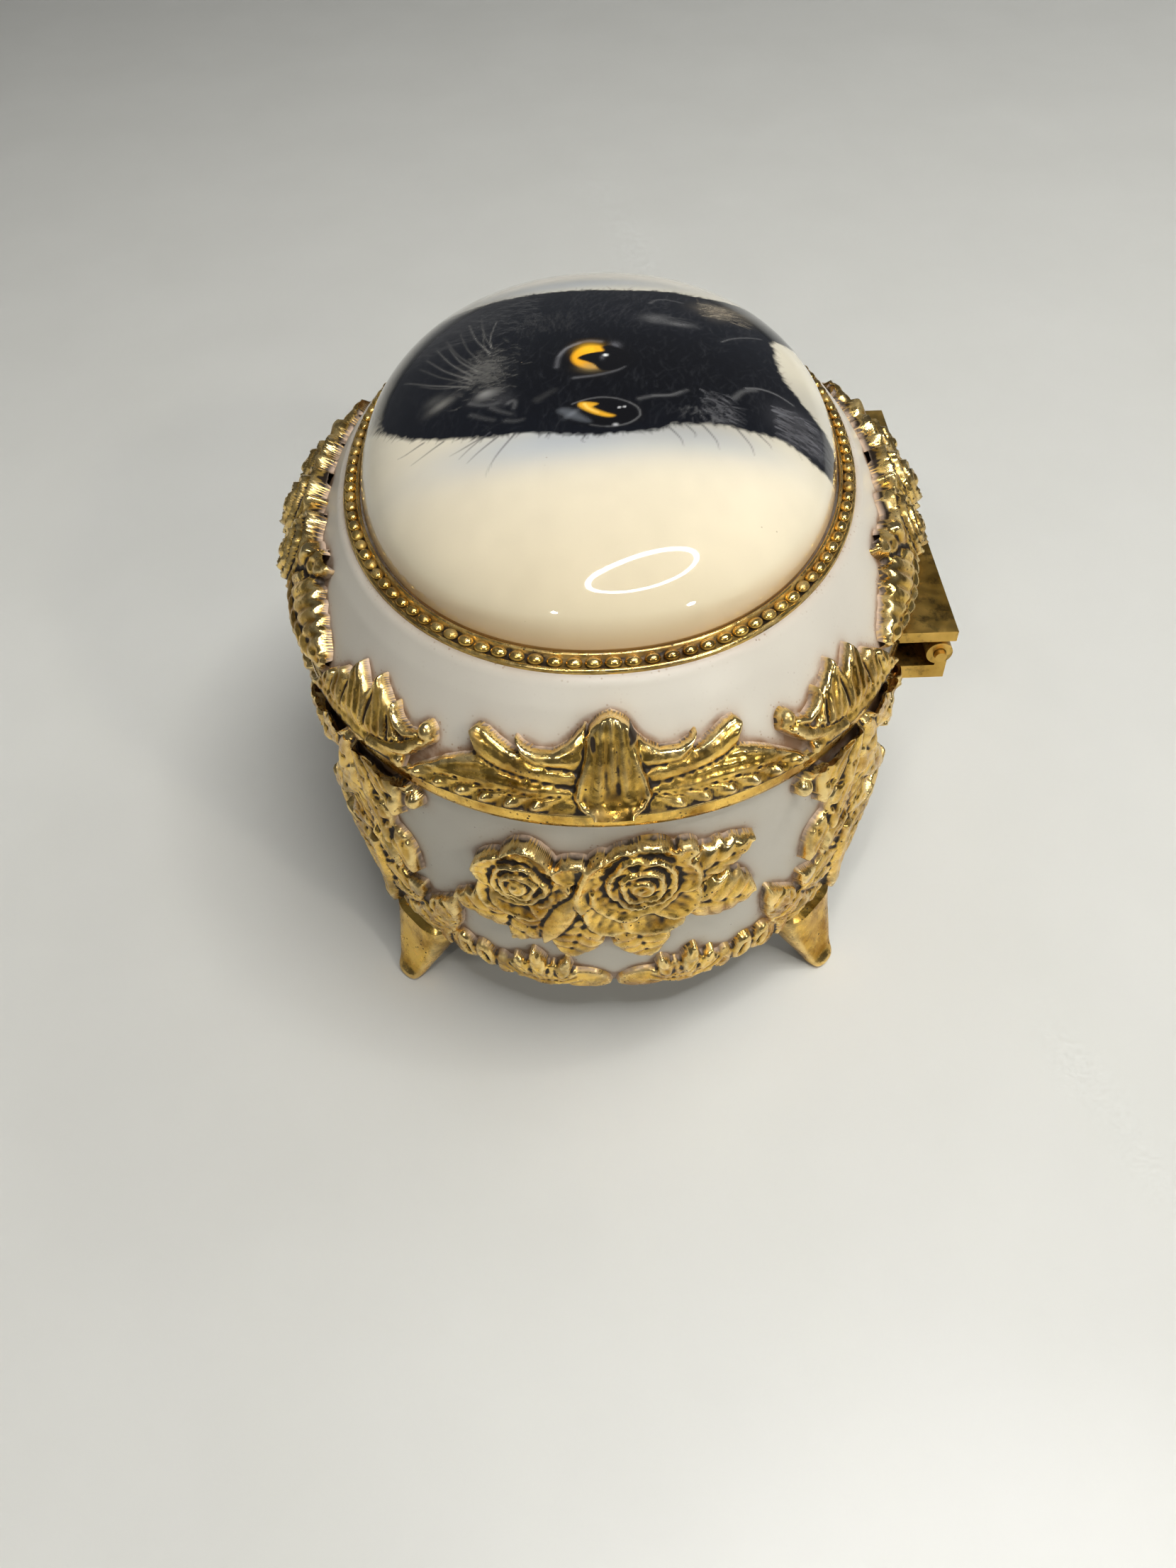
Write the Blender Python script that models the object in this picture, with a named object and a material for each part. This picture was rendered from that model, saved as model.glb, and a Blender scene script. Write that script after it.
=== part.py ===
"""Oval trinket box: a gilt and enamelled cast-metal case on four feet, with a hinged lid that
carries a porcelain cabochon in a beaded bezel. Width runs along X, the front faces -Y, the hinge
is at +Y. Sizes below are in millimetres; the scene is in metres."""

import math

import bmesh
import bpy
import numpy as np
from mathutils import Matrix, Vector

MM = 0.001
GAP = 0.3

# Plan of the oval: half sizes at the rim and at the edge of the porcelain
RIM_X, RIM_Y = 51.5, 40.5
STONE_X, STONE_Y = 40.0, 30.0
OVAL_POWER = 2.1
SEGMENTS = 72

# Levels
APRON_Z = 11.0
BODY_TOP_Z = 46.6
LID_Z = 46.9
SEAT_Z = 58.4
STONE_Z = SEAT_Z + GAP
STONE_SPRING_Z = 60.0
STONE_RISE = 13.5
STONE_POWER = 1.8
BEZEL_TOP_Z = 60.3
BEAD_RISE = 0.55
BEADS = 112

# Side curves, as (inset from the rim, height)
BODY_SIDE = [
    (2.0, 11.0), (1.4, 14.0), (0.8, 20.0), (0.3, 30.0), (0.4, 38.0), (0.8, 44.2), (0.0, 44.7), (0.0, 46.6),
]
LID_SIDE = [(0.1, 46.9), (0.9, 47.7), (1.3, 49.0), (3.2, 52.5), (5.6, 56.2), (7.3, 58.4)]
WALL_INSET = 3.0
LEDGE_INSET = 8.0
LEDGE_TOP_Z = 12.6
PLATE_Z = (12.9, 14.4)
PAD_Z = (14.7, 16.2)
LINING_INSET = (3.3, 4.1)

# Hinge
HINGE_Y, HINGE_Z = 41.2, 44.7
PIN_R, BORE_R, KNUCKLE_R = 0.7, 0.8, 1.6
LEAF_X = 25.5
LEAF_OUT_Y = 42.9
KNUCKLE_ENDS = [(-25.5, -22.0), (-4.0, 4.0), (22.0, 25.5)]
LID_KNUCKLE_ENDS = [(-21.7, -4.3), (4.3, 21.7)]
LID_LEAF_Z = (46.6, 48.1)
BASE_LEAF_Z = (40.8, 42.8)

# Feet
FOOT_ANGLE = math.radians(42.0)
FOOT_SCREW_INSET = 5.9
SCREW_R, SCREW_HEAD_R = 0.9, 1.9


def clear_scene():
    for obj in list(bpy.data.objects):
        bpy.data.objects.remove(obj, do_unlink=True)


def collection(name):
    made = bpy.data.collections.new(name)
    bpy.context.scene.collection.children.link(made)
    return made


def material(name, colour, roughness, metallic):
    made = bpy.data.materials.new(name)
    made.use_nodes = True
    shader = made.node_tree.nodes["Principled BSDF"]
    shader.inputs["Base Color"].default_value = (*colour, 1.0)
    shader.inputs["Roughness"].default_value = roughness
    shader.inputs["Metallic"].default_value = metallic
    return made


clear_scene()
BOX = collection("porcelain_trinket_box")
CUTTERS = collection("cutters")

GILT = material("antique_gilt", (0.62, 0.40, 0.11), 0.34, 1.0)
ENAMEL = material("white_enamel", (0.72, 0.68, 0.63), 0.42, 0.0)
PORCELAIN = material("cream_porcelain", (0.86, 0.79, 0.65), 0.08, 0.0)
BRASS = material("hinge_brass", (0.42, 0.28, 0.10), 0.38, 1.0)
STEEL = material("zinc_plated_steel", (0.45, 0.45, 0.44), 0.35, 1.0)
VELVET = material("red_velvet", (0.26, 0.02, 0.03), 0.95, 0.0)


# ---------------------------------------------------------------- oval plan


def half_length(half_depth):
    """Half size along X of the oval whose half size along Y is given."""
    if half_depth < STONE_Y:
        return half_depth * STONE_X / STONE_Y
    return STONE_X + (half_depth - STONE_Y) * (RIM_X - STONE_X) / (RIM_Y - STONE_Y)


def oval(half_depth, angle, z):
    c, s = math.cos(angle), math.sin(angle)
    x = half_length(half_depth) * math.copysign(abs(c) ** (2 / OVAL_POWER), c)
    y = half_depth * math.copysign(abs(s) ** (2 / OVAL_POWER), s)
    return Vector((x, y, z))


def plan_normal(half_depth, angle):
    point = oval(half_depth, angle, 0)
    power = OVAL_POWER - 1
    x = math.copysign(abs(point.x) ** power / half_length(half_depth) ** OVAL_POWER, point.x)
    y = math.copysign(abs(point.y) ** power / half_depth**OVAL_POWER, point.y)
    return Vector((x, y, 0)).normalized()


def arc_table(steps=1440):
    angles = np.linspace(0, 2 * math.pi, steps + 1)
    points = np.array([oval(RIM_Y, a, 0) for a in angles])
    lengths = np.linalg.norm(np.diff(points, axis=0), axis=1)
    return angles, np.concatenate([[0], np.cumsum(lengths)])


ARC_ANGLES, ARC_LENGTHS = arc_table()
ROUND = float(ARC_LENGTHS[-1])
HALF_ROUND, QUARTER = ROUND / 2, ROUND / 4


def angle_at(arc):
    """Angle on the oval at this distance round the rim from its +X end."""
    return float(np.interp(arc % ROUND, ARC_LENGTHS, ARC_ANGLES))


def inset_at(side, z):
    return float(np.interp(z, [p[1] for p in side], [p[0] for p in side]))


def on_wall(side, arc, z, out):
    """Point this far out from the wall, square to it."""
    angle = angle_at(arc)
    half_depth = RIM_Y - inset_at(side, z)
    reach = 1.0
    tilt = math.atan2(inset_at(side, z + reach) - inset_at(side, z - reach), 2 * reach)
    normal = plan_normal(half_depth, angle) * math.cos(tilt) + Vector((0, 0, math.sin(tilt)))
    return oval(half_depth, angle, z) + normal * out


# ---------------------------------------------------------------- solids


def add(name, bm, look, scale=MM, smooth=35):
    bmesh.ops.recalc_face_normals(bm, faces=bm.faces)
    if bm.calc_volume(signed=True) < 0:
        bmesh.ops.reverse_faces(bm, faces=bm.faces)
    bmesh.ops.scale(bm, vec=(scale,) * 3, verts=bm.verts)
    mesh = bpy.data.meshes.new(name)
    bm.to_mesh(mesh)
    bm.free()
    if look:
        mesh.materials.append(look)
        mesh.shade_smooth()
        mesh.set_sharp_from_angle(angle=math.radians(smooth))
    obj = bpy.data.objects.new(name, mesh)
    (BOX if look else CUTTERS).objects.link(obj)
    if not look:
        obj.hide_render = True
        obj.display_type = "WIRE"
    return obj


def loft(name, rings, look, looped=False, smooth=35):
    """Faces between successive rings of points. A looped loft is a closed tube round the oval;
    otherwise the two end rings are capped."""
    bm = bmesh.new()
    rows = [[bm.verts.new(p) for p in ring] for ring in rings]
    pairs = list(zip(rows, rows[1:]))
    if looped:
        pairs.append((rows[-1], rows[0]))
    for lower, upper in pairs:
        for i in range(len(lower)):
            j = (i + 1) % len(lower)
            bm.faces.new((lower[i], lower[j], upper[j], upper[i]))
    if not looped:
        bm.faces.new(rows[0])
        bm.faces.new(rows[-1])
    return add(name, bm, look, smooth=smooth)


def oval_ring(half_depth, z, segments=SEGMENTS):
    return [oval(half_depth, 2 * math.pi * i / segments, z) for i in range(segments)]


def tube(name, profile, look):
    """Ring with this closed cross-section of (inset, z)."""
    return loft(name, [oval_ring(RIM_Y - inset, z) for inset, z in profile], look, looped=True)


def disc(name, profile, look):
    """Solid oval with this outer edge of (inset, z), from bottom to top."""
    return loft(name, [oval_ring(RIM_Y - inset, z) for inset, z in profile], look)


def box(name, low, high, look=None):
    bm = bmesh.new()
    bmesh.ops.create_cube(bm, size=1.0)
    size, middle = Vector(high) - Vector(low), (Vector(high) + Vector(low)) / 2
    bmesh.ops.transform(bm, matrix=Matrix.Translation(middle) @ Matrix.Diagonal((*size, 1)), verts=bm.verts)
    return add(name, bm, look)


def rod(name, radius, start, end, look=None, segments=24, end_radius=None):
    bm = bmesh.new()
    start, end = Vector(start), Vector(end)
    turn = (end - start).to_track_quat("Z", "Y").to_matrix().to_4x4()
    place = Matrix.Translation((start + end) / 2) @ turn
    far = radius if end_radius is None else end_radius
    bmesh.ops.create_cone(
        bm, cap_ends=True, segments=segments, radius1=radius, radius2=far, depth=(end - start).length,
        matrix=place,
    )
    return add(name, bm, look)


def combine(target, tool, operation):
    """Applies one Boolean and drops its tool."""
    modifier = target.modifiers.new(operation.lower(), "BOOLEAN")
    modifier.operation = operation
    modifier.solver = "EXACT"
    modifier.object = tool
    graph = bpy.context.evaluated_depsgraph_get()
    result = bpy.data.meshes.new_from_object(target.evaluated_get(graph))
    target.modifiers.clear()
    target.data = result
    bpy.data.objects.remove(tool, do_unlink=True)
    bm = bmesh.new()
    bm.from_mesh(result)
    bmesh.ops.remove_doubles(bm, verts=bm.verts, dist=2e-6)
    bm.to_mesh(result)
    bm.free()
    result.set_sharp_from_angle(angle=math.radians(35))


def cut(target, tool):
    combine(target, tool, "DIFFERENCE")


def join(target, tool):
    combine(target, tool, "UNION")


# ---------------------------------------------------------------- cast ornament


def swell(bumps, edge):
    """Height of a relief: a low edge, rising over each bump of (along, up, reach, height)."""

    def height(u, v):
        found = edge
        for along, up, reach, tall in bumps:
            away = math.hypot(u - along, v - up) / reach
            if away < 1:
                found = max(found, edge + (tall - edge) * math.sqrt(1 - away**2))
        return found

    return height


def relief(name, side, place, outline, height, look=GILT, cell=4.0):
    """Cast ornament lying on the wall. The outline is in (distance along the rim, height); place
    turns the distance along into a distance round the rim."""
    curve = bpy.data.curves.new(name, "CURVE")
    curve.dimensions = "2D"
    curve.fill_mode = "BOTH"
    curve.extrude = 0.5
    spline = curve.splines.new("POLY")
    spline.points.add(len(outline) - 1)
    for point, (u, v) in zip(spline.points, outline):
        point.co = (u, v, 0, 1)
    spline.use_cyclic_u = True
    guide = bpy.data.objects.new(name + "_blank", curve)
    CUTTERS.objects.link(guide)
    graph = bpy.context.evaluated_depsgraph_get()
    flat = bpy.data.meshes.new_from_object(guide.evaluated_get(graph))
    bpy.data.objects.remove(guide, do_unlink=True)

    bm = bmesh.new()
    bm.from_mesh(flat)
    bmesh.ops.remove_doubles(bm, verts=bm.verts, dist=1e-3)
    bmesh.ops.dissolve_limit(bm, angle_limit=0.01, verts=bm.verts, edges=bm.edges)
    for axis in (0, 1):
        values = [p[axis] for p in outline]
        at = math.floor(min(values) / cell + 1) * cell + 0.07
        while at < max(values) - 0.1:
            normal = Vector((1, 0, 0)) if axis == 0 else Vector((0, 1, 0))
            whole = bm.verts[:] + bm.edges[:] + bm.faces[:]
            bmesh.ops.bisect_plane(bm, geom=whole, dist=1e-3, plane_co=normal * at, plane_no=normal)
            at += cell
    bmesh.ops.triangulate(bm, faces=bm.faces)
    for vert in bm.verts:
        u, v, top = vert.co
        out = height(u, v) if top > 0 else GAP
        vert.co = on_wall(side, place(u), v, out)
    return add(name, bm, look, smooth=60)


def mirrored(half):
    """The whole outline of an ornament given as its half on the +u side, from bottom to top."""
    return half + [(-u, v) for u, v in reversed(half) if abs(u) > 1e-6]


def at_arc(start, way=1):
    return lambda u: start + way * u


# ---------------------------------------------------------------- case


def make_case():
    inside = [
        (WALL_INSET, BODY_TOP_Z), (WALL_INSET, LEDGE_TOP_Z), (LEDGE_INSET, LEDGE_TOP_Z),
        (LEDGE_INSET, APRON_Z),
    ]
    case = tube("body_casting", BODY_SIDE + inside, ENAMEL)
    groove = rod("groove", KNUCKLE_R + 0.35, (-26.0, HINGE_Y, HINGE_Z), (26.0, HINGE_Y, HINGE_Z))
    cut(case, groove)

    plate = disc("bottom_plate", [(WALL_INSET + GAP, z) for z in PLATE_Z], STEEL)
    disc("floor_pad", [(LINING_INSET[1] + GAP, z) for z in PAD_Z], VELVET)
    tube(
        "wall_lining",
        [
            (LINING_INSET[0], PAD_Z[0]), (LINING_INSET[0], 46.0), (LINING_INSET[1], 46.0),
            (LINING_INSET[1], PAD_Z[0]),
        ],
        VELVET,
    )
    corners = {"front_right": (1, -1), "front_left": (-1, -1), "rear_right": (1, 1), "rear_left": (-1, 1)}
    for corner, (sx, sy) in corners.items():
        angle = math.atan2(sy * math.sin(FOOT_ANGLE), sx * math.cos(FOOT_ANGLE))
        foot = make_foot(f"foot_{corner}", angle)
        seat = oval(RIM_Y - FOOT_SCREW_INSET, angle, 0)

        def up(z):
            return Vector((seat.x, seat.y, z))

        for body in (case, plate):
            cut(body, rod("hole", SCREW_R + GAP, up(10.0), up(15.0), segments=12))
        cut(plate, rod("counterbore", SCREW_HEAD_R + GAP, up(13.3), up(15.0), segments=16))
        cut(foot, rod("blind_hole", SCREW_R + GAP, up(8.0), up(11.5), segments=12))
        screw = rod(f"foot_screw_{corner}", SCREW_HEAD_R, up(13.6), up(14.4), STEEL, segments=16)
        join(screw, rod("shank", SCREW_R, up(8.3), up(13.9), segments=10))
        slot = box("slot", (-3, -0.25, 14.1), (3, 0.25, 15))
        slot.matrix_world = Matrix.Translation(up(0) * MM)
        bpy.context.view_layer.update()
        cut(screw, slot)
    return case


def make_foot(name, angle):
    """Cabriole foot: broad under the case, drawn in and out again to a small toe."""
    outward = plan_normal(RIM_Y - 2.0, angle)
    along = Vector((-outward.y, outward.x, 0))
    corner = oval(RIM_Y - 2.0, angle, 0)
    levels = [
        # height, reach of the outer face from the case's edge, depth, half width
        (10.7, 2.4, 10.0, 4.9),
        (8.6, 2.7, 9.4, 4.6),
        (6.6, 3.0, 7.0, 3.9),
        (4.4, 3.5, 5.0, 3.0),
        (2.2, 4.3, 3.9, 2.2),
        (0.7, 5.2, 3.2, 1.7),
        (0.0, 5.1, 2.6, 1.4),
    ]
    rings = []
    for z, reach, depth, half_width in levels:
        middle = corner + outward * (reach - depth / 2)
        ring = []
        for i in range(12):
            turn = 2 * math.pi * (i + 0.5) / 12
            c, s = math.cos(turn), math.sin(turn)
            across = math.copysign(abs(s) ** 0.7, s) * half_width * (1.0 if c < 0 else 0.92)
            point = middle + outward * math.copysign(abs(c) ** 0.7, c) * depth / 2 + along * across
            ring.append(Vector((point.x, point.y, z)))
        rings.append(ring)
    return loft(name, rings, GILT, smooth=50)


def make_body_ornament():
    band = mirrored([
        (0.0, 11.3), (5.0, 11.3), (9.6, 11.3), (9.8, 14.0), (10.6, 16.2), (11.2, 18.4), (10.6, 20.2),
        (11.6, 22.2), (11.0, 24.8), (8.6, 25.4), (6.4, 26.8), (7.6, 28.8), (7.0, 31.0), (5.2, 32.4),
        (4.0, 34.2), (5.2, 36.6), (5.0, 39.0), (6.4, 40.6), (7.6, 39.4), (8.8, 40.2), (9.2, 42.4),
        (8.4, 43.9),
    ])
    ribs = [(0.0, 14.0, 9.0, 2.6), (0.0, 24.0, 9.0, 2.6), (0.0, 33.0, 7.0, 2.5), (0.0, 41.0, 7.0, 2.6)]
    spray = [
        (-20.3, 26.8), (-18.3, 25.4), (-17.0, 24.0), (-14.8, 23.4), (-12.0, 22.5), (-10.3, 22.4),
        (-8.8, 23.8), (-8.0, 22.0), (-5.8, 19.6), (-4.0, 20.8), (-1.8, 22.1), (-0.5, 23.8), (0.5, 22.0),
        (2.5, 20.6), (4.8, 19.6), (6.2, 21.8), (7.2, 24.0), (7.5, 26.5), (9.0, 28.0), (10.0, 26.4),
        (12.0, 24.8), (14.0, 25.4), (15.5, 27.0), (17.5, 29.0), (16.0, 32.5), (15.6, 34.0), (17.0, 37.4),
        (16.2, 40.2), (13.8, 39.8), (11.2, 40.0), (9.9, 38.4), (9.2, 41.0), (7.4, 41.2), (6.8, 39.6),
        (6.0, 41.7), (2.4, 41.7), (1.4, 39.6), (0.4, 37.9), (-0.9, 40.4), (-2.6, 40.2), (-4.2, 38.4),
        (-5.0, 37.4), (-6.2, 40.0), (-8.6, 41.2), (-11.0, 39.8), (-11.9, 37.4), (-13.0, 38.2),
        (-14.7, 37.2), (-15.7, 34.4), (-15.9, 31.4), (-18.0, 30.8), (-19.7, 29.2),
    ]
    roses = [(-10.6, 34.6, 6.4, 2.9), (3.6, 35.4, 7.2, 3.0), (-4.0, 26.0, 5.0, 2.2), (12.6, 32.0, 5.0, 2.0)]
    border = mirrored([
        (0.0, 12.4), (0.8, 11.3), (8.0, 11.3), (16.0, 11.3), (25.3, 11.3), (25.3, 14.0), (22.2, 14.8),
        (20.0, 16.8), (17.8, 15.2), (15.6, 16.6), (13.4, 14.8), (11.2, 16.2), (9.4, 18.2), (6.8, 17.4),
        (5.6, 14.6), (3.0, 15.3), (0.8, 14.4), (0.0, 13.4),
    ])
    shells = [(8.6, 14.6, 3.6, 2.0), (-8.6, 14.6, 3.6, 2.0), (3.2, 13.2, 2.8, 1.6), (-3.2, 13.2, 2.8, 1.6)]
    corner_arc = float(np.interp(math.radians(47.0), ARC_ANGLES, ARC_LENGTHS))
    for corner, start in {
        "front_right": -corner_arc,
        "rear_right": corner_arc,
        "rear_left": HALF_ROUND - corner_arc,
        "front_left": HALF_ROUND + corner_arc,
    }.items():
        relief(f"corner_acanthus_{corner}", BODY_SIDE, at_arc(start), band, swell(ribs, 1.3), cell=4.6)
    for panel, start in {"right": 0.0, "rear": QUARTER, "left": HALF_ROUND, "front": 3 * QUARTER}.items():
        # The rear spray stops below the hinge bracket.
        ceiling = BASE_LEAF_Z[0] - 0.5 if panel == "rear" else 42.0
        outline = [(u, min(v, ceiling)) for u, v in spray]
        relief(f"rose_spray_{panel}", BODY_SIDE, at_arc(start), outline, swell(roses, 1.2), cell=4.0)
        relief(f"apron_border_{panel}", BODY_SIDE, at_arc(start), border, swell(shells, 1.1), cell=5.0)


# ---------------------------------------------------------------- lid


def make_lid():
    inside = [
        (13.0, SEAT_Z), (13.0, 56.9), (8.9, 56.9), (5.2, 52.2), (3.2, 48.4), (2.6, LID_Z),
    ]
    tube("lid_casting", LID_SIDE + inside, ENAMEL)

    disc("dome_backing_plate", [(9.6, 55.7), (9.6, 56.6)], STEEL)
    disc(
        "lid_pad",
        [(9.0, 47.5), (4.4, 48.0), (3.8, 48.8), (5.8, 52.3), (8.1, 55.3)],
        VELVET,
    )
    rings = []
    for rho in (1.0, 0.985, 0.94, 0.86, 0.74, 0.58, 0.38, 0.15):
        z = STONE_SPRING_Z + STONE_RISE * math.sqrt(max(0.0, 1 - rho**STONE_POWER))
        rings.append(oval_ring(STONE_Y * rho, z))
    under = [oval_ring(STONE_Y * r, z) for r, z in ((0.2, 70.0), (0.62, 67.0), (0.88, 61.0), (0.9, STONE_Z))]
    loft("porcelain_dome", under + [oval_ring(STONE_Y, STONE_Z)] + rings, PORCELAIN, smooth=60)
    make_bezel()


def make_bezel():
    """Ring with a bead on every other segment."""
    segments = 2 * BEADS
    section = [
        (7.4, STONE_Z, 0), (7.4, BEZEL_TOP_Z, 0), (8.8, BEZEL_TOP_Z + 0.15, 1), (10.1, BEZEL_TOP_Z, 0),
        (10.1, STONE_Z, 0),
    ]
    rings = []
    for inset, z, beaded in section:
        ring = oval_ring(RIM_Y - inset, z, segments)
        for i, point in enumerate(ring):
            point.z += BEAD_RISE * beaded * (i % 2)
        rings.append(ring)
    loft("beaded_bezel", rings, GILT, looped=True, smooth=30)


def make_lid_ornament():
    half_shell = [
        (0.0, 47.1), (6.0, 47.1), (14.0, 47.1), (21.8, 47.1), (21.0, 48.4), (19.2, 49.8), (16.4, 50.8),
        (14.6, 51.4), (15.2, 53.2), (14.2, 54.1), (11.6, 53.6), (9.2, 52.9), (6.8, 52.4), (4.6, 52.9),
        (3.2, 54.4), (1.8, 55.6), (0.0, 55.9),
    ]
    shell = [(0.0, 49.2, 4.6, 2.3), (0.0, 53.0, 3.2, 2.0), (8.0, 49.0, 6.0, 1.7), (-8.0, 49.0, 6.0, 1.7)]
    for side, start in {"right": 0.0, "left": HALF_ROUND}.items():
        outline = mirrored(half_shell)
        relief(f"side_cartouche_{side}", LID_SIDE, at_arc(start), outline, swell(shell, 1.1), cell=3.0)

    leaf = [
        (22.4, 47.1), (32.0, 47.1), (42.9, 47.1), (41.6, 48.6), (40.0, 50.0), (38.0, 50.9), (35.9, 51.1),
        (35.6, 53.5), (33.8, 53.8), (32.2, 52.6), (30.6, 54.2), (28.8, 53.0), (27.9, 51.4), (26.9, 52.2),
        (25.9, 50.8), (23.7, 50.2), (22.9, 51.4), (21.8, 52.3), (20.7, 51.5), (20.9, 50.2), (21.9, 48.9),
    ]
    folds = [(33.0, 49.2, 7.0, 2.0), (39.5, 48.6, 4.5, 2.2), (21.8, 51.2, 1.8, 1.9)]
    for corner, (start, way) in {
        "rear_right": (0.0, 1), "front_right": (0.0, -1),
        "rear_left": (HALF_ROUND, -1), "front_left": (HALF_ROUND, 1),
    }.items():
        relief(f"lid_acanthus_{corner}", LID_SIDE, at_arc(start, way), leaf, swell(folds, 1.1), cell=3.6)

    half_lift = [
        (0.0, 47.1), (10.0, 47.1), (20.0, 47.1), (28.2, 47.1), (28.0, 49.4), (26.2, 51.0), (26.4, 53.6),
        (24.2, 55.0), (21.2, 53.8), (18.6, 53.2), (16.6, 54.0), (14.0, 54.8), (11.6, 53.6), (9.0, 55.0),
        (5.4, 53.8), (2.6, 55.2), (0.0, 54.6),
    ]
    lift = [
        (0.0, 50.2, 5.6, 4.9), (9.0, 50.0, 4.8, 4.4), (-9.0, 50.0, 4.8, 4.4), (15.5, 49.6, 4.0, 2.6),
        (-15.5, 49.6, 4.0, 2.6),
    ]
    relief("thumb_roses", LID_SIDE, at_arc(3 * QUARTER), mirrored(half_lift), swell(lift, 1.4), cell=2.6)

    half_rear = [
        (0.0, 48.4), (10.0, 48.4), (20.0, 48.4), (28.0, 48.4), (27.6, 49.8), (26.0, 51.0), (26.2, 53.4),
        (24.0, 54.8), (21.0, 53.8), (18.4, 53.2), (16.4, 54.0), (13.8, 54.8), (11.4, 53.6), (8.8, 55.0),
        (5.2, 53.8), (2.4, 55.2), (0.0, 54.6),
    ]
    rear = [
        (0.0, 51.0, 5.2, 4.9), (8.6, 51.0, 4.6, 4.4), (-8.6, 51.0, 4.6, 4.4), (15.0, 50.6, 3.6, 2.4),
        (-15.0, 50.6, 3.6, 2.4),
    ]
    relief("hinge_roses", LID_SIDE, at_arc(QUARTER), mirrored(half_rear), swell(rear, 1.4), cell=2.6)


# ---------------------------------------------------------------- hinge


def wall_clearance(name, side):
    """The case or the lid, swollen by the gap, to shape a hinge leaf's inner edge."""
    below, above = side[0][1] - 5, side[-1][1] + 5
    whole = [(side[0][0], below), *side, (side[-1][0], above)]
    return disc(name, [(inset - GAP, z) for inset, z in whole], None)


def make_hinge():
    def on_axis(x):
        return (x, HINGE_Y, HINGE_Z)

    rod("hinge_pin", PIN_R, on_axis(-26.3), on_axis(26.3), BRASS)

    leaf = box("lid_hinge_leaf", (-LEAF_X, 33.0, LID_LEAF_Z[0]), (LEAF_X, LEAF_OUT_Y, LID_LEAF_Z[1]), BRASS)
    cut(leaf, wall_clearance("lid_room", LID_SIDE))
    for start, end in LID_KNUCKLE_ENDS:
        join(leaf, box("web", (start, HINGE_Y - 0.3, HINGE_Z), (end, HINGE_Y + 1.2, LID_LEAF_Z[0] + 0.4)))
        join(leaf, rod("knuckle", KNUCKLE_R, on_axis(start), on_axis(end)))
    cut(leaf, rod("bore", BORE_R, on_axis(-30), on_axis(30)))

    low, high = BASE_LEAF_Z
    bracket = box("base_hinge_leaf", (-LEAF_X, 33.0, low), (LEAF_X, HINGE_Y + 1.1, high), BRASS)
    cut(bracket, wall_clearance("case_room", BODY_SIDE))
    for start, end in KNUCKLE_ENDS:
        join(bracket, box("web", (start, HINGE_Y - 0.3, BASE_LEAF_Z[1] - 0.4), (end, HINGE_Y + 1.1, HINGE_Z)))
        join(bracket, rod("knuckle", KNUCKLE_R, on_axis(start), on_axis(end)))
    cut(bracket, rod("bore", BORE_R, on_axis(-30), on_axis(30)))


def hang_lid():
    """The lid's pieces turn with an empty on the hinge's axis."""
    axis = bpy.data.objects.new("lid_axis", None)
    axis.location = (0, HINGE_Y * MM, HINGE_Z * MM)
    BOX.objects.link(axis)
    bpy.context.view_layer.update()
    lid_names = (
        "lid_casting", "dome_backing_plate", "lid_pad", "porcelain_dome", "beaded_bezel", "thumb_roses",
        "hinge_roses", "lid_hinge_leaf", "side_cartouche", "lid_acanthus",
    )
    for obj in BOX.objects:
        if obj.name.startswith(lid_names):
            obj.parent = axis
            obj.matrix_parent_inverse = axis.matrix_world.inverted()


make_case()
make_body_ornament()
make_lid()
make_lid_ornament()
make_hinge()
hang_lid()
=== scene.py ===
"""Looks of the oval trinket box: cast gilt ornament over enamelled metal, a porcelain cabochon painted
with a cat's portrait, and a velvet lining. Lengths are in millimetres until a mesh is made."""

import math

import bmesh
import bpy
import numpy as np
from mathutils import Matrix, Vector


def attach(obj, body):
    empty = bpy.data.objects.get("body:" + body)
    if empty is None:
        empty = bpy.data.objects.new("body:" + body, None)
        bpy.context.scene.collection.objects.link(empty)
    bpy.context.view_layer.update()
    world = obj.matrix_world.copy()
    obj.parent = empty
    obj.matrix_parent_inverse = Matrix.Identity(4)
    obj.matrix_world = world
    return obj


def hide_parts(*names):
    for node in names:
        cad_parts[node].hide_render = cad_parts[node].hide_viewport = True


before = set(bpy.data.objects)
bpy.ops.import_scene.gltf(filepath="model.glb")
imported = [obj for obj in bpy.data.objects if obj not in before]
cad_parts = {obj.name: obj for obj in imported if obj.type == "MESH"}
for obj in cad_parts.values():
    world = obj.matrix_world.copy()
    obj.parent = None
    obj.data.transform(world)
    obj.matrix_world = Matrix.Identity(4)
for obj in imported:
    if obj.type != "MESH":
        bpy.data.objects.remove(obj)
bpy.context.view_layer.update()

MM = 0.001
TAU = 2 * math.pi

# ---------------------------------------------------------------- oval plan and walls

RIM_X, RIM_Y = 51.5, 40.5
STONE_X, STONE_Y = 40.0, 30.0
OVAL_POWER = 2.1
STONE_SPRING_Z, STONE_RISE, STONE_POWER = 60.0, 13.5, 1.8
BODY_SIDE = [
    (2.0, 11.0), (1.4, 14.0), (0.8, 20.0), (0.3, 30.0), (0.4, 38.0), (0.8, 44.2), (0.0, 44.7), (0.0, 46.6),
]
LID_SIDE = [(0.1, 46.9), (0.9, 47.7), (1.3, 49.0), (3.2, 52.5), (5.6, 56.2), (7.3, 58.4)]
BODY_BAND_Z, LID_BAND_Z = 44.35, 47.5
HINGE_Y, HINGE_Z, GROOVE_R, GROOVE_X = 41.2, 44.7, 1.95, 26
BEAD_INSET, BEADS, BEZEL_FOOT_Z = 9.1, 112, 58.85
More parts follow.
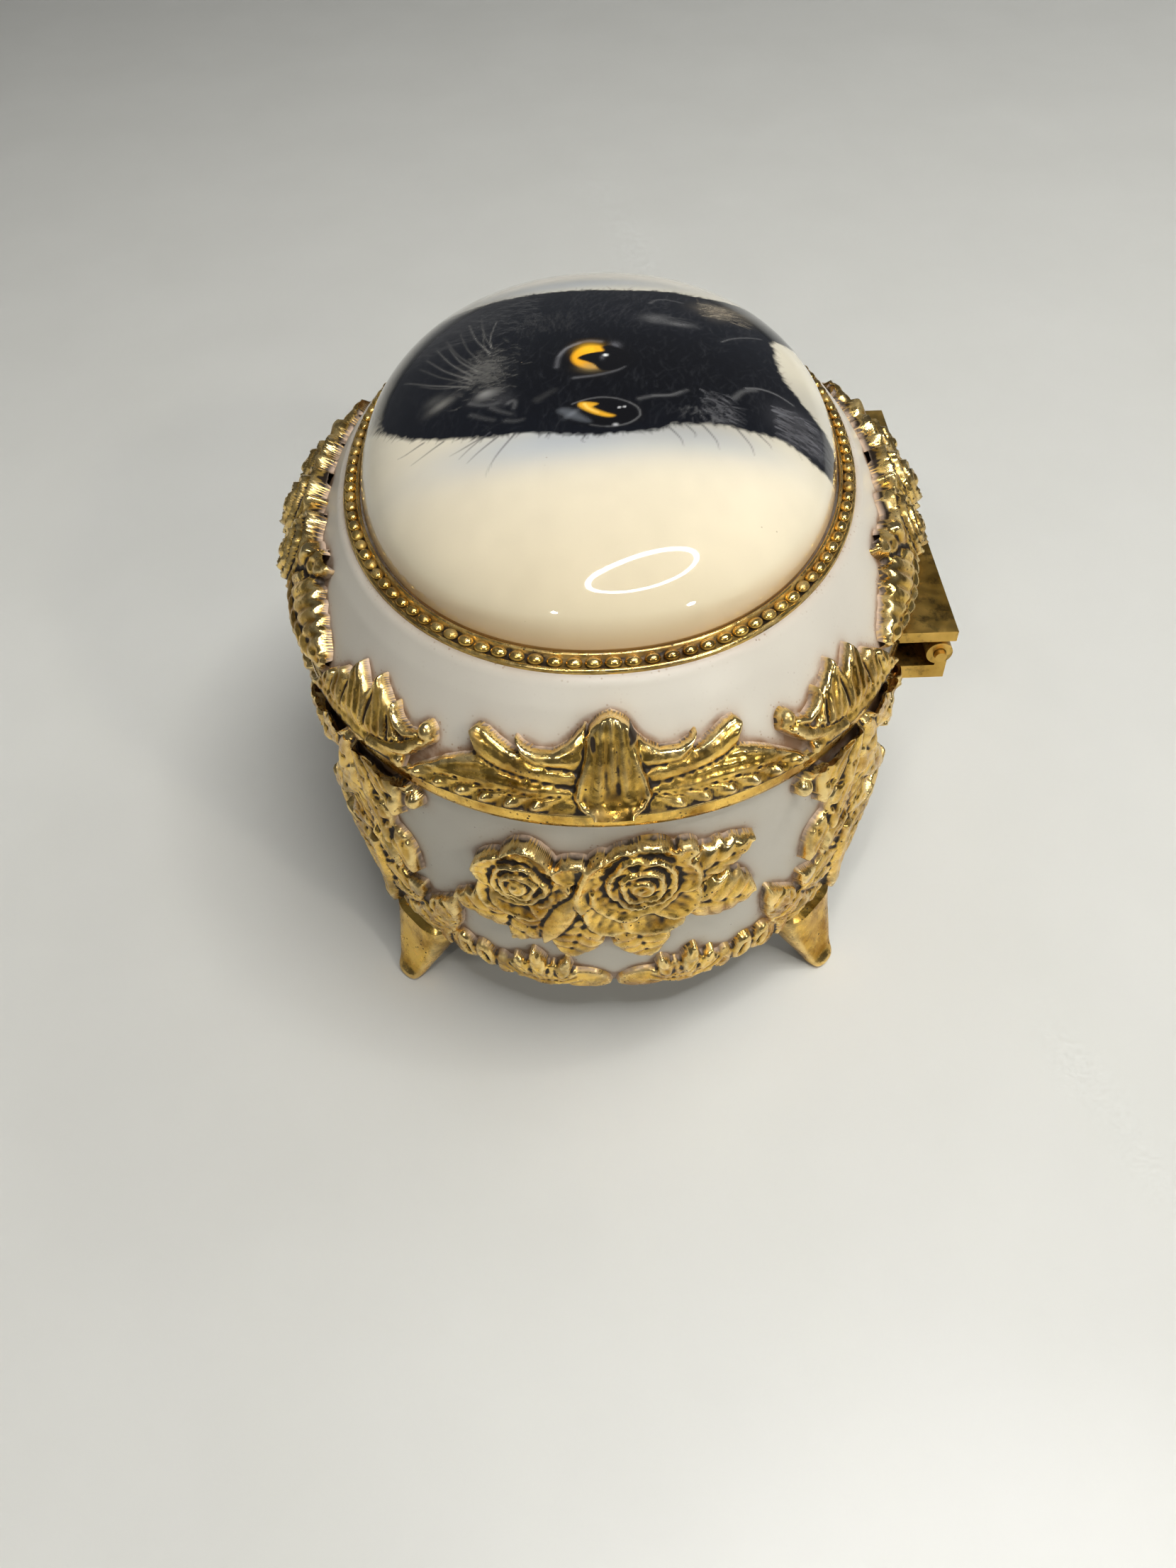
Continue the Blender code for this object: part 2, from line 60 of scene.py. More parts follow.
FOOT_INSET, FOOT_ANGLE = 2.0, math.radians(42.0)


def half_length(half_depth):
    """Half size along x of the oval whose half size along y is given."""
    beyond = STONE_X + (half_depth - STONE_Y) * (RIM_X - STONE_X) / (RIM_Y - STONE_Y)
    return np.where(half_depth < STONE_Y, half_depth * STONE_X / STONE_Y, beyond)


def oval(half_depth, angle):
    """x and y of a point on the oval whose half size along y is given."""
    c, s = np.cos(angle), np.sin(angle)
    power = 2 / OVAL_POWER
    return half_length(half_depth) * np.sign(c) * abs(c) ** power, half_depth * np.sign(s) * abs(s) ** power


ANGLES = np.linspace(0, TAU, 2881)
ARCS = np.concatenate([[0], np.cumsum(np.hypot(*np.diff(oval(RIM_Y, ANGLES), axis=1)))])
ROUND = float(ARCS[-1])
HALF_ROUND, QUARTER = ROUND / 2, ROUND / 4
CORNER_ARC = float(np.interp(math.radians(47.0), ANGLES, ARCS))


def inset_at(side, z):
    """How far a wall stands in from the rim at this height."""
    return np.interp(z, [p[1] for p in side], [p[0] for p in side])


def on_wall(side, arc, z, out):
    """Points this far out from the wall, square to it."""
    angle = np.interp(arc % ROUND, ARCS, ANGLES)
    half = RIM_Y - inset_at(side, z)
    x, y = oval(half, angle)
    nx = np.sign(x) * abs(x) ** (OVAL_POWER - 1) / half_length(half) ** OVAL_POWER
    ny = np.sign(y) * abs(y) ** (OVAL_POWER - 1) / half**OVAL_POWER
    size = np.hypot(nx, ny)
    tilt = np.arctan2(inset_at(side, z + 1) - inset_at(side, z - 1), 2.0)
    flat = np.cos(tilt) * out / size
    return np.stack([x + nx * flat, y + ny * flat, z + np.sin(tilt) * out], axis=-1)


def even_angles(count):
    """Angles that share out the rim's length evenly."""
    return np.interp(np.linspace(0, ROUND, count, endpoint=False), ARCS, ANGLES)


def swept(rows, angle):
    """Grids of x, y and z for rows of (inset from the rim, z) carried round the oval."""
    rows = np.array(rows)
    x, y = oval(RIM_Y - rows[:, :1], angle[None, :])
    return x, y, np.broadcast_to(rows[:, 1:], x.shape)


# ---------------------------------------------------------------- meshes


def listed(*grids):
    """Points in a list, from a grid of each coordinate."""
    return np.stack(grids, -1).reshape(-1, 3)


def surface(name, points, quads, look, body, slot, stands_for=(), colours=None, **values):
    """One piece from points in millimetres and quads, with a value or a colour kept at each point."""
    mesh = bpy.data.meshes.new(name)
    mesh.vertices.add(len(points))
    mesh.vertices.foreach_set("co", (np.asarray(points, float) * MM).ravel())
    quads = np.asarray(quads, np.int32)
    mesh.loops.add(quads.size)
    mesh.loops.foreach_set("vertex_index", quads.ravel())
    mesh.polygons.add(len(quads))
    mesh.polygons.foreach_set("loop_start", np.arange(0, quads.size, quads.shape[1], dtype=np.int32))
    mesh.update(calc_edges=True)
    mesh.shade_smooth()
    for key, value in values.items():
        kept = mesh.attributes.new(key, "FLOAT", "POINT")
        kept.data.foreach_set("value", np.asarray(value, np.float32).ravel())
    if colours is not None:
        paint = mesh.color_attributes.new(name="paint", type="FLOAT_COLOR", domain="POINT")
        rgba = np.ones((len(points), 4), np.float32)
        rgba[:, :3] = colours
        paint.data.foreach_set("color", rgba.ravel())
    mesh.materials.append(look)
    return place(bpy.data.objects.new(name, mesh), body, stands_for)


def place(obj, body, stands_for):
    """Puts a piece in the scene, on its body and the CAD nodes that it replaces."""
    bpy.context.scene.collection.objects.link(obj)
    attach(obj, body)
    if stands_for:
        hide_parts(*stands_for)
    return obj


def grid_quads(rows, columns, round_rows=False, round_columns=False):
    """Quads of a grid of points kept row by row, joined up round either way if asked."""
    i = np.arange(rows if round_rows else rows - 1)[:, None]
    j = np.arange(columns if round_columns else columns - 1)[None, :]
    i2, j2 = (i + 1) % rows, (j + 1) % columns
    corners = [i * columns + j, i * columns + j2, i2 * columns + j2, i2 * columns + j]
    return np.stack(np.broadcast_arrays(*corners), axis=-1).reshape(-1, 4)


def blur(field, reach, times=2):
    """Box blur, repeated, over a two-way grid."""
    for _ in range(times):
        for axis in (0, 1):
            width = 2 * reach + 1
            padded = np.pad(field, [(reach + 1, reach) if a == axis else (0, 0) for a in (0, 1)], mode="edge")
            total = np.cumsum(padded, axis=axis)
            high = np.take(total, np.arange(width, total.shape[axis]), axis=axis)
            low = np.take(total, np.arange(0, total.shape[axis] - width), axis=axis)
            field = (high - low) / width
    return field


def noise(shape, cell, seed):
    """Smooth random field from -1 to 1, with lumps about this many grid steps across."""
    rng = np.random.default_rng(seed)
    small = rng.uniform(-1, 1, (int(shape[0] / cell) + 3, int(shape[1] / cell) + 3))
    y, x = np.arange(shape[0]) / cell, np.arange(shape[1]) / cell
    y0, x0 = y.astype(int), x.astype(int)
    fy, fx = y - y0, x - x0
    fy, fx = (fy * fy * (3 - 2 * fy))[:, None], (fx * fx * (3 - 2 * fx))[None, :]
    a, b = small[np.ix_(y0, x0)], small[np.ix_(y0, x0 + 1)]
    c, d = small[np.ix_(y0 + 1, x0)], small[np.ix_(y0 + 1, x0 + 1)]
    return (a * (1 - fx) + b * fx) * (1 - fy) + (c * (1 - fx) + d * fx) * fy


# ---------------------------------------------------------------- cast ornament


class Casting:
    """Height of a relief over (distance along the rim, height up the wall). Each part drawn covers
    the ones before it. Where nothing is drawn the height stays below the wall."""

    def __init__(self, low, high, step=0.17):
        self.step = step
        self.u = np.arange(low[0], high[0], step)
        self.z = np.arange(low[1], high[1], step)
        self.U, self.Z = np.meshgrid(self.u, self.z)
        self.H = np.full(self.U.shape, -0.5)
        self.stains = []

    def over(self, inside, height):
        self.H = np.where(inside, height, self.H)

    def frame(self, base, tip, bend=0.0):
        """Place along and across a bowed line, both in millimetres, and the line's length."""
        du, dz = tip[0] - base[0], tip[1] - base[1]
        length = math.hypot(du, dz)
        du, dz = du / length, dz / length
        x = (self.U - base[0]) * du + (self.Z - base[1]) * dz
        y = (self.Z - base[1]) * du - (self.U - base[0]) * dz
        t = np.clip(x / length, 0, 1)
        return x, y - bend * 4 * t * (1 - t), length

    def turned(self, at, radii, turn):
        """Place across a turned oval, in parts of its radii, and the distance from its middle."""
        c, s = math.cos(turn), math.sin(turn)
        x = ((self.U - at[0]) * c + (self.Z - at[1]) * s) / radii[0]
        y = ((self.Z - at[1]) * c - (self.U - at[0]) * s) / radii[1]
        return x, y, np.hypot(x, y)

    def leaf(
        self, base, tip, width, tall, ribs=7, bend=0.0, widest=0.45, teeth=0.16, slant=0.9, blunt=0.75,
        low=0.35,
    ):
        """Acanthus or rose leaf with a sunk midrib, slanting ribs and a toothed edge."""
        x, y, length = self.frame(base, tip, bend)
        t = np.clip(x / length, 0, 1)
        shape = np.sin(math.pi * t ** (math.log(0.5) / math.log(widest))) ** blunt
        shape = np.maximum(shape, 0.45 * (1 - t) ** 0.5 * (t < widest))
        turn = ribs * t - slant * abs(y) / width
        half = width * shape * (1 - teeth * (0.5 + 0.5 * np.cos(TAU * turn)))
        q = abs(y) / np.maximum(half, 1e-3)
        crown = np.sqrt(np.clip(1 - q**2, 0, 1))
        height = tall * (0.42 + 0.58 * crown) * (0.78 + 0.22 * np.sin(math.pi * t))
        height += 0.26 * tall * (np.abs(np.cos(math.pi * turn)) - 0.55) * np.clip(1.3 - 0.7 * crown, 0, 1)
        height -= low * np.exp(-((y / 0.28) ** 2)) * (1 - t) ** 0.3
        self.over((x > 0) & (x < length) & (q < 1), height)

    def plume(
        self, base, tip, width, tall, flutes=4, bend=0.0, widest=0.55, blunt=0.8, curl=0.35, groove=0.16
    ):
        """Smooth leaf or finger whose flutes run from its root to its tip."""
        x, y, length = self.frame(base, tip, bend)
        t = np.clip(x / length, 0, 1)
        shape = np.sin(math.pi * t ** (math.log(0.5) / math.log(widest))) ** blunt
        root = 0.35
        shape = np.maximum(shape, root * np.sqrt(np.clip(1 - t / widest, 0, 1)) + (t < widest) * root * 0.6)
        q = y / np.maximum(width * shape, 1e-3)
        crown = np.sqrt(np.clip(1 - q**2, 0, 1))
        height = tall * (0.34 + 0.66 * crown**0.8) + curl * np.exp(-(((t - 0.86) / 0.13) ** 2))
        height += groove * (np.abs(np.cos(math.pi * flutes * (q + 1) / 2)) - 0.6) * np.clip(4 * (1 - t), 0, 1)
        self.over((x > 0) & (x < length) & (abs(q) < 1), height * (0.86 + 0.14 * t))

    def band(self, top, bottom, tall, flutes=5, groove=0.15, roll=0.3, upright=0.0):
        """Long leaf between two lines of (along, up), fluted either way, with a rolled upper edge."""
        top, bottom = np.array(top), np.array(bottom)
        high = np.interp(self.U, top[:, 0], top[:, 1])
        low = np.interp(self.U, bottom[:, 0], bottom[:, 1])
        v = (self.Z - low) / np.maximum(high - low, 0.05)
        height = tall * (0.45 + 0.55 * np.sqrt(np.clip(1 - (2 * v - 1) ** 2, 0, 1)))
        height += groove * (np.abs(np.cos(math.pi * flutes * v)) - 0.6)
        height += roll * np.exp(-(((v - 0.9) / 0.1) ** 2))
        if upright:
            folds = np.abs(np.cos(math.pi * (self.U - 0.3 * (self.Z - 47)) / upright))
            height += 0.2 * (folds - 0.6) * np.clip(3 * v, 0, 1)
        self.over((v > 0) & (v < 1) & (self.U > top[0, 0]) & (self.U < top[-1, 0]), height)

    def petal(self, at, radii, turn, low, high, veins=5):
        """Cupped lobe: sunk in the middle, with a rim that is highest at its outer end."""
        x, y, r = self.turned(at, radii, turn)
        r = r / (1 + 0.06 * np.cos(3 * np.arctan2(y, x) + 2 * at[0]))
        height = low + (high - low) * (0.25 + 0.75 * np.clip(r, 0, 1) ** 2.6) * (0.8 + 0.2 * x)
        height += 0.07 * np.cos(veins * math.pi * y) * np.clip(x + 0.5, 0, 1)
        height -= 0.45 * np.clip((r - 0.9) / 0.1, 0, 1) ** 2
        self.over(r < 1, height)

    def rose(self, at, reach, tall, turn=0.0, tallness=1.0):
        """Open rose: rings of cupped petals, each over the last, round a tight bud."""
        for k, (count, away, size, low, high) in enumerate([
            (5, 0.44, 0.56, 0.30, 0.66), (5, 0.29, 0.44, 0.42, 0.84), (4, 0.16, 0.31, 0.55, 0.98),
        ]):
            for i in range(count):
                way = turn + 0.65 * k + TAU * i / count
                spot = (at[0] + away * reach * math.cos(way), at[1] + away * reach * tallness * math.sin(way))
                self.petal(spot, (size * reach, 1.08 * size * reach), way, low * tall, high * tall)
        self.bud(at, 0.24 * reach, tall)

    def bud(self, at, reach, tall):
        x, y = self.U - at[0], self.Z - at[1]
        r = np.hypot(x, y)
        swirl = np.cos(TAU * r / 0.95 - np.arctan2(y, x))
        self.over(r < reach, tall * 0.82 + 0.35 * np.sqrt(np.clip(1 - (r / reach) ** 2, 0, 1)) + 0.2 * swirl)

    def tube(self, points, widths, tall):
        """Rounded ridge along a line of points."""
        best = np.full(self.U.shape, -1.0)
        for (a, b), (wa, wb) in zip(zip(points, points[1:]), zip(widths, widths[1:])):
            du, dz = b[0] - a[0], b[1] - a[1]
            t = np.clip(((self.U - a[0]) * du + (self.Z - a[1]) * dz) / (du * du + dz * dz), 0, 1)
            away = np.hypot(self.U - a[0] - t * du, self.Z - a[1] - t * dz)
            width = wa + (wb - wa) * t
            best = np.maximum(best, 1 - (away / width) ** 2)
        self.over(best > 0, tall * (0.35 + 0.65 * np.sqrt(np.clip(best, 0, 1))))

    def ball(self, at, radii, tall, turn=0.0):
        r = self.turned(at, radii, turn)[2]
        self.over(r < 1, tall * (0.3 + 0.7 * np.sqrt(np.clip(1 - r**2, 0, 1))))

    def pit(self, at, radii, deep, turn=0.0):
        r = self.turned(at, radii, turn)[2]
        self.H = np.where((r < 1) & (self.H > 0), np.maximum(self.H - deep * (1 - r**2), 0.15), self.H)

    def fan(self, at, reach, first, last, flutes, tall):
        """Shell of flutes spreading from a point."""
        x, y = self.U - at[0], self.Z - at[1]
        r, way = np.hypot(x, y), np.arctan2(y, x)
        part = (way - first) / (last - first)
        edge = reach * (0.86 + 0.14 * abs(np.sin(math.pi * part * flutes)))
        height = tall * (0.55 + 0.45 * np.sqrt(np.clip(1 - (r / reach) ** 4, 0, 1)))
        height -= 0.35 * (1 - abs(np.sin(math.pi * part * flutes))) * np.clip(r / reach * 1.6, 0, 1)
        self.over((part > 0) & (part < 1) & (r < edge), height)

    def mirror(self):
        """Copies the +u half onto the -u half."""
        self.H = np.where(self.U < 0, self.H[:, ::-1], self.H)

    def covers(self, u, z):
        """1 where the ornament lies, for points given along and up the wall."""
        i = np.clip(((z - self.z[0]) / self.step).round().astype(int), 0, len(self.z) - 1)
        j = np.clip(((u - self.u[0]) / self.step).round().astype(int), 0, len(self.u) - 1)
        inside = (u > self.u[0]) & (u < self.u[-1]) & (z > self.z[0]) & (z < self.z[-1])
        return np.where(inside, self.H[i, j] > 0, False)

    def piece(self, node, side, start, way, body, seed):
        """Lays the relief on the wall as one piece, standing for a CAD node."""
        solid = self.H > 0
        height = np.where(solid, self.H, -0.45)
        hammer = 0.07 * noise(height.shape, 9, seed) + 0.05 * noise(height.shape, 3.5, seed + 1)
        height = blur(height + np.where(solid, hammer, 0), 1, 1)
        near, wide, broad = blur(height, 2), blur(np.maximum(height, 0), 6), blur(np.maximum(height, 0), 13)
        hollow = (near - height) * 4.8 + (wide - height) * 0.7 + (broad - height) * 0.18 - 0.03
        steep = np.hypot(*np.gradient(height, self.step))
        hollow = np.clip(hollow, 0, 1) * (height > 0) * np.clip((10 - steep) / 4, 0.12, 1)
        ridge = np.clip((height - near) * 4.0 + (height - wide) * 0.35, 0, 1)
        for at, radii in self.stains:
            r = np.hypot((self.U - at[0]) / radii[0], (self.Z - at[1]) / radii[1])
            hollow = np.maximum(hollow, np.clip(1.3 - r + 0.4 * noise(height.shape, 3, seed + 5), 0, 1))
        points = on_wall(side, start + way * self.U, self.Z, height)
        quads = grid_quads(*height.shape)
        keep = (height.ravel()[quads] > -0.25).any(axis=1)
        quads = quads[keep]
        if way < 0:
            quads = quads[:, ::-1]
        used, quads = np.unique(quads, return_inverse=True)
        quads = quads.reshape(-1, 4)
        surface(
            f"{node}_cast", points.reshape(-1, 3)[used], quads, GILT, body, "antique_gilt", [node],
            hollow=hollow.ravel()[used], ridge=ridge.ravel()[used], height=height.ravel()[used],
        )


def spray():
    """Two roses with their leaves."""
    c = Casting((-22, 17.5), (20, 44))
    c.leaf((-6.5, 30.5), (-20.4, 26.8), 3.9, 1.8, ribs=6, bend=1.0)
    c.leaf((-5.0, 30.5), (-12.6, 22.2), 3.3, 2.1, ribs=5, bend=-0.6)
    c.leaf((6.5, 34.6), (17.0, 38.4), 3.0, 2.1, ribs=5, bend=0.5)
    c.leaf((6.0, 32.0), (17.8, 28.4), 4.2, 2.2, ribs=6, widest=0.55)
    c.leaf((-2.6, 30.0), (-5.9, 19.6), 3.7, 1.8, ribs=6, widest=0.56)
    c.leaf((2.0, 29.0), (4.6, 19.5), 3.9, 1.8, ribs=6, widest=0.56)
    # Left rose
    c.petal((-13.0, 32.0), (3.1, 3.2), -2.6, 1.1, 2.4)
    c.petal((-13.4, 35.8), (2.7, 3.0), 2.7, 1.2, 2.5)
    c.petal((-9.6, 38.3), (2.9, 3.3), 1.5, 1.4, 2.9)
    c.petal((-10.6, 31.4), (3.0, 3.5), -1.7, 1.2, 2.6)
    c.petal((-7.2, 33.8), (2.6, 4.8), -0.2, 1.2, 2.8)
    c.rose((-10.4, 35.0), 4.6, 3.3, turn=0.5)
    # Folded petals between the roses
    c.petal((-4.4, 37.6), (1.8, 2.2), 1.9, 1.4, 2.7)
    c.plume((-3.0, 36.0), (-8.2, 24.2), 1.7, 2.5, flutes=2, widest=0.6, groove=0.12)
    c.petal((-1.6, 35.4), (2.3, 4.9), 2.9, 1.5, 3.0, veins=2)
    # Right rose
    c.petal((-0.2, 29.4), (3.2, 3.3), -2.0, 1.1, 2.5)
    c.petal((4.8, 29.0), (3.2, 3.7), -1.5, 1.1, 2.6)
    c.petal((7.2, 32.0), (3.0, 3.4), -0.6, 1.2, 2.6)
    c.petal((7.4, 36.6), (2.5, 3.6), 0.3, 1.3, 2.7)
    c.petal((8.5, 40.0), (1.1, 1.3), 1.6, 1.8, 2.6)
    c.petal((4.0, 39.2), (2.8, 3.5), 1.5, 1.5, 3.0)
    c.petal((0.9, 33.0), (3.0, 3.8), -2.7, 1.3, 2.8)
    c.rose((3.4, 36.0), 5.7, 3.4, turn=1.2, tallness=1.12)
    return c


def corner():
    """Acanthus hanging down the corner of the case into the foot."""
    c = Casting((-15.8, 11.1), (15.8, 44.6))
    x = abs(c.U)
    c.over((x < 5.2) & (c.Z > 11.3) & (c.Z < 44.2), 0.8 + 0.2 * np.cos(TAU * (c.Z - 1.1 * x) / 1.9))
    for base, tip, width, tall, flutes, bend in [
        ((1.0, 12.0), (9.4, 12.0), 1.8, 1.7, 2, 0.2),
        ((1.5, 12.5), (13.4, 16.4), 2.2, 1.9, 3, -0.8),
        ((3.0, 13.0), (15.0, 21.4), 2.4, 2.1, 3, -1.2),
        ((4.5, 14.0), (15.2, 26.2), 2.7, 2.4, 4, -1.8),
        ((1.2, 17.0), (9.6, 24.6), 2.3, 2.3, 4, -1.0),
        ((0.6, 21.0), (8.4, 20.4), 1.9, 2.1, 3, 0.8),
        ((2.6, 34.0), (9.6, 27.0), 2.3, 2.4, 2, 1.0),
        ((0.4, 28.0), (5.8, 25.4), 1.9, 2.2, 3, 0.6),
        ((0.6, 39.0), (5.4, 29.8), 2.6, 2.4, 3, 0.7),
        ((1.2, 44.4), (8.6, 37.2), 2.9, 2.5, 4, 1.0),
        ((0.4, 43.8), (3.2, 36.4), 1.7, 2.6, 3, 0.3),
    ]:
        c.plume(
            base, tip, 1.05 * width, 0.7 * tall, flutes + 1, bend, widest=0.5, blunt=1.1, curl=0.2, groove=0.2
        )
    c.tube([(6.0, 44.1), (8.4, 44.5), (10.4, 43.9), (11.3, 42.6)], (0.9, 0.9, 0.85, 0.8), 1.7)
    c.ball((11.4, 41.8), (1.15, 1.35), 2.0)
    c.plume((0, 26.0), (0, 11.2), 1.8, 2.1, flutes=3, widest=0.5)
    groove = np.exp(-((c.U / 0.3) ** 2)) * np.clip((c.Z - 27) / 6, 0, 1)
    c.H = np.where(c.H > 0, np.maximum(c.H - 0.9 * groove, 0.3), c.H)
    pits = np.clip(noise(c.H.shape, 4.5, 77) - 0.35, 0, 1) * 1.0
    c.H = np.where(c.H > 0, np.maximum(c.H - pits * np.clip((x - 1.0) / 2, 0, 1), 0.3), c.H)
    c.mirror()
    return c


def apron():
    """Scrolled lower edge with shells, lobes and pierced pearls."""
    c = Casting((-25.4, 11.1), (25.4, 20.0))
    for x, reach, high in [(24.2, 2.4, 4.0), (21.4, 2.4, 4.6), (12.9, 1.7, 3.6), (15.0, 1.5, 4.0)]:
        c.ball((x, 11.6), (reach, high), 1.3)
    c.ball((4.1, 11.4), (3.9, 3.6), 1.2)
    c.ball((17.6, 13.6), (1.5, 3.0), 1.6, turn=-0.2)
    c.ball((20.4, 13.9), (1.5, 3.0), 1.6, turn=-0.2)
    c.pit((17.6, 13.8), (0.7, 1.6), 1.5, turn=-0.2)
    c.pit((20.4, 14.1), (0.7, 1.6), 1.5, turn=-0.2)
    c.fan((9.4, 10.6), 6.2, 0.35, 2.8, 9, 1.5)
    c.leaf((9.0, 12.0), (10.3, 19.3), 1.2, 1.8, ribs=3, widest=0.6, teeth=0.05, low=0.2)
    c.leaf((7.4, 12.0), (5.9, 17.9), 1.1, 1.7, ribs=3, widest=0.6, teeth=0.05, low=0.2)
    c.leaf((10.8, 12.0), (13.0, 17.0), 1.0, 1.7, ribs=3, widest=0.6, teeth=0.05, low=0.2)
    c.mirror()
    return c


def cartouche():
    """Fluted tongue between two spreading leaves, on the skirt of the lid."""
    c = Casting((-24.0, 46.95), (24.0, 56.6), step=0.15)
    c.band(
        [(2.0, 51.4), (8, 51.4), (12, 51.7), (15, 51.4), (17, 50.8), (19, 50.0), (21, 48.9), (23.4, 47.3)],
        [(2.0, 46.9), (23.4, 46.9)], 1.35, flutes=6, roll=0.22,
    )
    for k, x in enumerate(np.arange(4.6, 20.0, 2.9)):
        c.plume((x, 48.6 - 0.03 * k), (x + 3.6, 47.2), 0.62, 1.5, flutes=1, groove=0.05, widest=0.5)
    c.band(
        [(3.0, 52.8), (6, 52.1), (9, 52.2), (11, 52.7), (12.6, 53.3), (14, 53.9), (15.2, 54.1), (16.0, 53.5)],
        [(3.0, 49.4), (8, 49.9), (11, 50.3), (13.4, 50.8), (15.0, 51.5), (16.0, 53.1)],
        1.6, flutes=5, roll=0.22,
    )
    c.band(
        [(2.2, 55.4), (3.2, 54.6), (4.4, 53.6), (6, 52.9), (8, 52.8), (9.4, 53.2), (10.5, 53.8)],
        [(2.2, 50.8), (5, 51.2), (8, 51.4), (9.6, 52.3), (10.5, 53.5)], 1.8, flutes=3, roll=0.22,
    )
    c.mirror()
    across = c.U - 0.5
    tongue_z = [46.95, 47.5, 48.8, 50.4, 52.4, 54.2, 55.2, 55.9, 56.3]
    half = np.interp(c.Z, tongue_z, [2.2, 3.5, 4.1, 3.7, 3.0, 2.8, 2.4, 1.4, 0])
    q = abs(across) / np.maximum(half, 1e-3)
    bowl = np.exp(-(((c.Z - 49.0) / 1.6) ** 2))
    height = 1.7 + 0.9 * np.sqrt(np.clip(1 - q**2, 0, 1)) * (1 - bowl) + 0.5 * np.clip((c.Z - 52.5) / 3, 0, 1)
    flutes = np.cos(TAU * across / (0.22 * half + 0.55))
    height += 0.13 * flutes * np.clip((c.Z - 48.6) / 1.6, 0, 1) * (q < 0.85)
    height += 0.45 * bowl * np.exp(-(((abs(across) - 1.6) / 0.9) ** 2))
    height += 0.45 * np.exp(-(((q - 0.9) / 0.09) ** 2)) * np.clip((53.5 - c.Z) / 1.5, 0, 1)
    c.over(q < 1, height)
    c.stains = [((-1.5, 53.9), (0.4, 0.8)), ((3.0, 54.4), (0.6, 1.0))]
    return c


def lid_leaf():
    """Scroll ending in a ball, with fingers of leaf, at a corner of the lid's skirt."""
    c = Casting((19.6, 46.95), (43.8, 55.2), step=0.15)
    c.band(
        [
            (24.4, 48.2), (25.4, 49.3), (26.4, 50.7), (27.4, 52.0), (28.6, 52.8), (29.7, 53.4),
            (30.5, 54.3), (31.0, 53.8), (31.5, 52.5), (32.0, 51.8), (32.8, 52.3), (33.8, 53.2),
            (34.8, 53.9), (35.4, 53.3), (35.8, 52.0), (36.5, 51.3), (37.6, 51.8), (38.4, 51.5),
            (39.1, 50.3), (40.2, 50.4), (41.0, 49.7), (41.8, 48.5), (43.4, 47.2),
        ],
        [(24.4, 46.9), (43.4, 46.9)], 1.45, flutes=1, groove=0.0, roll=0.25, upright=1.3,
    )
    for at, high, turn in [
        ((31.3, 50.3), 2.4, 0.1), ((36.2, 49.8), 2.0, 0.1), ((39.2, 48.9), 1.5, 0.1),
        ((27.4, 49.7), 1.7, -0.3),
    ]:
        c.pit(at, (0.45, high), 0.9, turn=turn)
    for line, widths in [
        ([(23.0, 50.8), (24.6, 50.4), (26.0, 50.8), (26.9, 51.6), (27.1, 52.5)], (0.45, 0.55, 0.6, 0.5, 0.3)),
        ([(21.0, 51.2), (22.6, 50.2), (24.6, 48.9), (27.0, 47.9), (30.0, 47.4)], (0.5, 0.7, 0.9, 0.9, 0.5)),
    ]:
        c.tube(line, widths, 1.6)
    c.ball((21.8, 51.6), (1.15, 1.05), 1.8, turn=-0.5)
    return c


def rose_cluster(low):
    """Three roses among feathered leaves, over the thumb-lift and the hinge."""
    c = Casting((-31.0, low), (31.0, 56.2), step=0.18)
    c.plume((22.0, 47.6), (31.0, 49.6), 2.2, 1.2, flutes=2, bend=0.4, widest=0.6, groove=0.1)
    c.leaf(
        (7.0, 51.8), (30.6, 50.2), 4.6, 2.4, ribs=9, bend=-1.2, widest=0.5, teeth=0.13, slant=1.5, blunt=0.7,
        low=0.5,
    )
    c.leaf((9.0, 52.6), (22.5, 55.9), 1.8, 1.9, ribs=5, bend=-0.5, widest=0.6, teeth=0.2, low=0.3)
    c.plume((10.0, 50.0), (16.6, 55.0), 1.9, 2.5, flutes=3, widest=0.6)
    c.plume((3.5, 51.0), (5.4, 55.8), 1.6, 2.6, flutes=3, widest=0.6)
    c.rose((9.6, 50.9), 4.9, 4.4, turn=0.4)
    c.mirror()
    c.rose((0.0, 51.1), 5.3, 5.0, turn=0.9)
    c.H = np.where(c.Z < low + 0.2, -0.5, c.H)
    return c


# ---------------------------------------------------------------- materials


